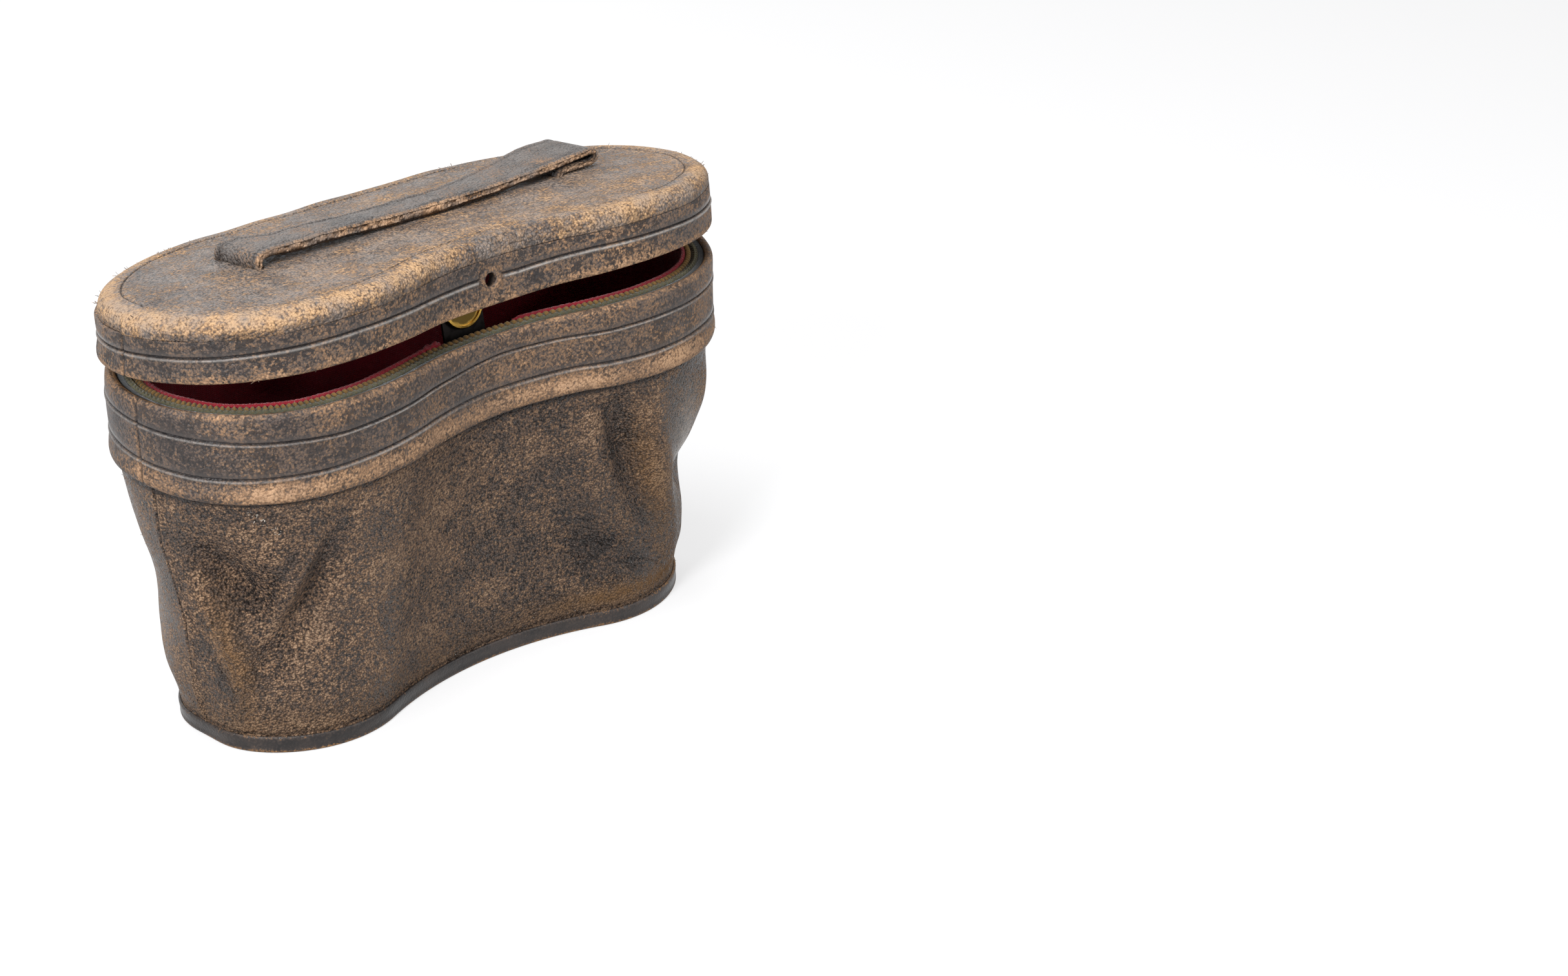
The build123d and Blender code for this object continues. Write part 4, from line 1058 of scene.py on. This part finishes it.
def sliver(rng, s, z, inset, longest):
    """Four cross-sections of one torn sliver; without an inset it stands on the lid's rolled edge."""
    on_roll = inset is None
    if on_roll:
        turn = rng.uniform(0.2, 1.2)
        z = lid_top - roll_radius * (1 - sin(turn))
        inset = roll_radius * (1 - cos(turn)) - lid_bulge(s, z)
        z = z - lid_sink(s) * ramp(z, 77.5, lid_top)
    elif z < band_bottom:
        inset = inset - sag(s, z)
    foot_inset = inset - 0.4 * (5 < z < band_bottom) - foot_shift(s) * bell(z, 0, 9)
    root = wall(s, z, inset, foot_inset)
    out = root - wall(s, z, inset + 1, foot_inset + 1) + [0, 0, 0.8 * on_roll] + rng.normal(0, 0.5, 3)
    aside = np.cross(out, rng.normal(0, 1, 3))
    aside = aside / np.linalg.norm(aside)
    length, width = longest * rng.uniform(0.35, 1.0), rng.uniform(0.05, 0.13)
    share = np.linspace(0, 1, 4)[:, None]
    middle = root - 0.15 * out + out * share * length + aside * share**2 * length * 0.5
    half = aside * width * (1 - 0.75 * share)
    thick = np.cross(out, aside) * 0.03
    return np.stack([middle - half, middle - thick, middle + half, middle + thick], 1)


def flakes(name, rows, place=as_is):
    """Slivers of torn leather; rows are ways, heights at both, scatter, inset, how many and longest."""
    rng = np.random.default_rng(77)
    lowest, highest = -1.9, 1.05  # times the scatter, so that none strays into the next piece
    slivers = []
    for first, last, low, high, scatter, inset, count, longest in rows:
        for _ in range(count):
            s = rng.uniform(first, last)
            off = scatter * min(max(rng.normal(), lowest), highest)
            z = low + (high - low) * (s - first) / (last - first) + off
            slivers.append(sliver(rng, s, z, inset, longest))
    one = grid_faces(4, 4, close_rows=False) + [[3, 2, 1, 0], [12, 13, 14, 15]]
    faces = [[v + 16 * k for v in face] for k in range(len(slivers)) for face in one]
    return mesh_piece(name, place(np.array(slivers).reshape(-1, 3)), faces, smooth=False)


def make_frays():
    """Torn fibres on the edges and seams, and pale flecks under the band."""
    back = 129
    on_cover = [
        (-back, back, 0, 0, 0, None, 230, 0.5),
        (-back, back, lap_level, lap_level, 0.1, 0.1, 60, 0.4),
        (-back, back, lid_edge + 0.1, lid_edge + 0.1, 0.05, 0.15, 70, 0.5),
    ]
    on_case = [
        (-back, back, 64.9, 64.9, 0.1, 0.1, 70, 0.35),
        (-back, back, 53.2, 53.2, 0.3, -0.4, 60, 0.5),
        (-back, back, 3.1, 3.1, 0.1, 0.1, 50, 0.5),
        (-118, -78, 36, 36, 14, 0.95, 70, 0.45),
        (60, back, 36, 36, 14, 0.95, 50, 0.45),
        (-70, 60, 34, 34, 12, 0.95, 60, 0.3),
    ]
    under_band = [(-57.3, -49.6, 50.2, 44.5, 0.7, 0.85, 34, 0.35)]
    dress(flakes("lid_frays", on_cover, on_lid), fray_hide, "lid")
    dress(flakes("case_frays", on_case), fray_hide, "case")
    dress(flakes("pale_flecks", under_band), fleck_hide, "case")


make_body_leather()
make_card_and_wadding()
make_lining()
make_band()
make_binding()
make_hoop()
make_felt()
make_braid()
make_welt()
make_lid_side()
make_lid_top()
make_lid_lining()
make_strap()
make_cushions()
make_frays()

finishes = [
    (lid_wood, "hoop_wood", ["lid_hoop"]),
    (card, "card", ["base_board", "lid_board"]),
    (base_hide, "base_hide", ["base_leather"]),
    (hinge_brass, "hinge_brass", ["hinge_leaf_body", "hinge_leaf_lid"]),
    (hinge_brass, "hinge_brass", ["hinge_rivets_body", "hinge_rivets_lid"]),
    (catch_steel, "catch_steel", ["catch_packing", "catch_clamp", "catch_spring"]),
    (button_brass, "button_brass", ["catch_button"]),
    (pin_steel, "pin_steel", ["hinge_pin", "catch_rivets", "strap_tacks"]),
]
for material, slot_name, names in finishes:
    for name in names:
        paint(nodes[name], material)


# ------------ floor, light and camera
def make_stage():
    """Pale floor that keeps the case's shadow and nearly vanishes into the white room."""
    far, glow_share = 2000.0, 0.68
    corners = far * np.array([[-1, -1, 0], [1, -1, 0], [1, 1, 0], [-1, 1, 0]])
    floor = mesh_piece("floor", corners, [[0, 1, 2, 3]])
    m = Shader("floor_white")
    diffuse = m.add("ShaderNodeLightPath").outputs["Is Diffuse Ray"]
    screen = m.blend(diffuse, (244, 244, 246), (176, 174, 172))
    m.set(Base_Color=screen, Roughness=0.9, Specular_IOR_Level=0.1)
    glow = m.add("ShaderNodeEmission", {"Color": (1, 1, 1, 1), "Strength": 1.0})
    parts = {0: m.times(m.seen(), glow_share), 1: m.surface.outputs[0], 2: glow.outputs[0]}
    mix = m.add("ShaderNodeMixShader", parts)
    m.put(m.tree.nodes["Material Output"].inputs["Surface"], mix.outputs[0])
    floor.data.materials.append(m.material)


def make_world():
    """White room: white where it is seen or mirrored, and a softer light on the case."""
    m = Shader("studio", bpy.data.worlds, "Background")
    on_case, white = 0.31, 1.0
    m.set(Color=(1, 1, 1, 1), Strength=m.stretch(m.seen(), 0.0, 1.0, on_case, white))
    bpy.context.scene.world = m.material


def softbox(name, place, aim, width, power):
    """Square area light, with places in millimetres."""
    lamp = bpy.data.lights.new(name, "AREA")
    lamp.size, lamp.energy = width * MM, power
    light = bpy.data.objects.new(name, lamp)
    light.location = Vector(place) * MM
    light.rotation_euler = (Vector(aim) - Vector(place)).to_track_quat("-Z", "Y").to_euler()
    bpy.context.scene.collection.objects.link(light)


def make_camera():
    """The photograph's own view, fitted to the case's outline."""
    place, aim = Vector((-337.93, -422.42, 283.21)), Vector((0, -6.33, 40))
    turn = Matrix.Identity(3)
    for angle, axis in ((0.68, "X"), (6.13, "Y"), (1.95, "Z")):
        turn = turn @ Matrix.Rotation(radians(angle), 3, axis)
    look = (aim - place).to_track_quat("-Z", "Y").to_matrix() @ turn.transposed()
    lens = bpy.data.cameras.new("camera")
    lens.sensor_width, lens.lens, lens.sensor_fit = 36.0, 73.1, "HORIZONTAL"
    lens.clip_start, lens.clip_end = 0.01, 20
    camera = bpy.data.objects.new("camera", lens)
    camera.matrix_world = Matrix.Translation(place * MM) @ look.to_4x4()
    bpy.context.scene.collection.objects.link(camera)
    bpy.context.scene.camera = camera


make_stage()
make_world()
softbox("key", (-150, -50, 760), (0, 0, 40), width=300, power=4.1)
softbox("left", (-560, -260, 420), (0, 0, 40), width=170, power=4.6)
softbox("right", (300, -620, 330), (0, 0, 40), width=200, power=1.3)
softbox("rear", (120, 520, 420), (0, 0, 60), width=360, power=1.2)
make_camera()
bpy.context.scene.view_settings.view_transform = "Standard"
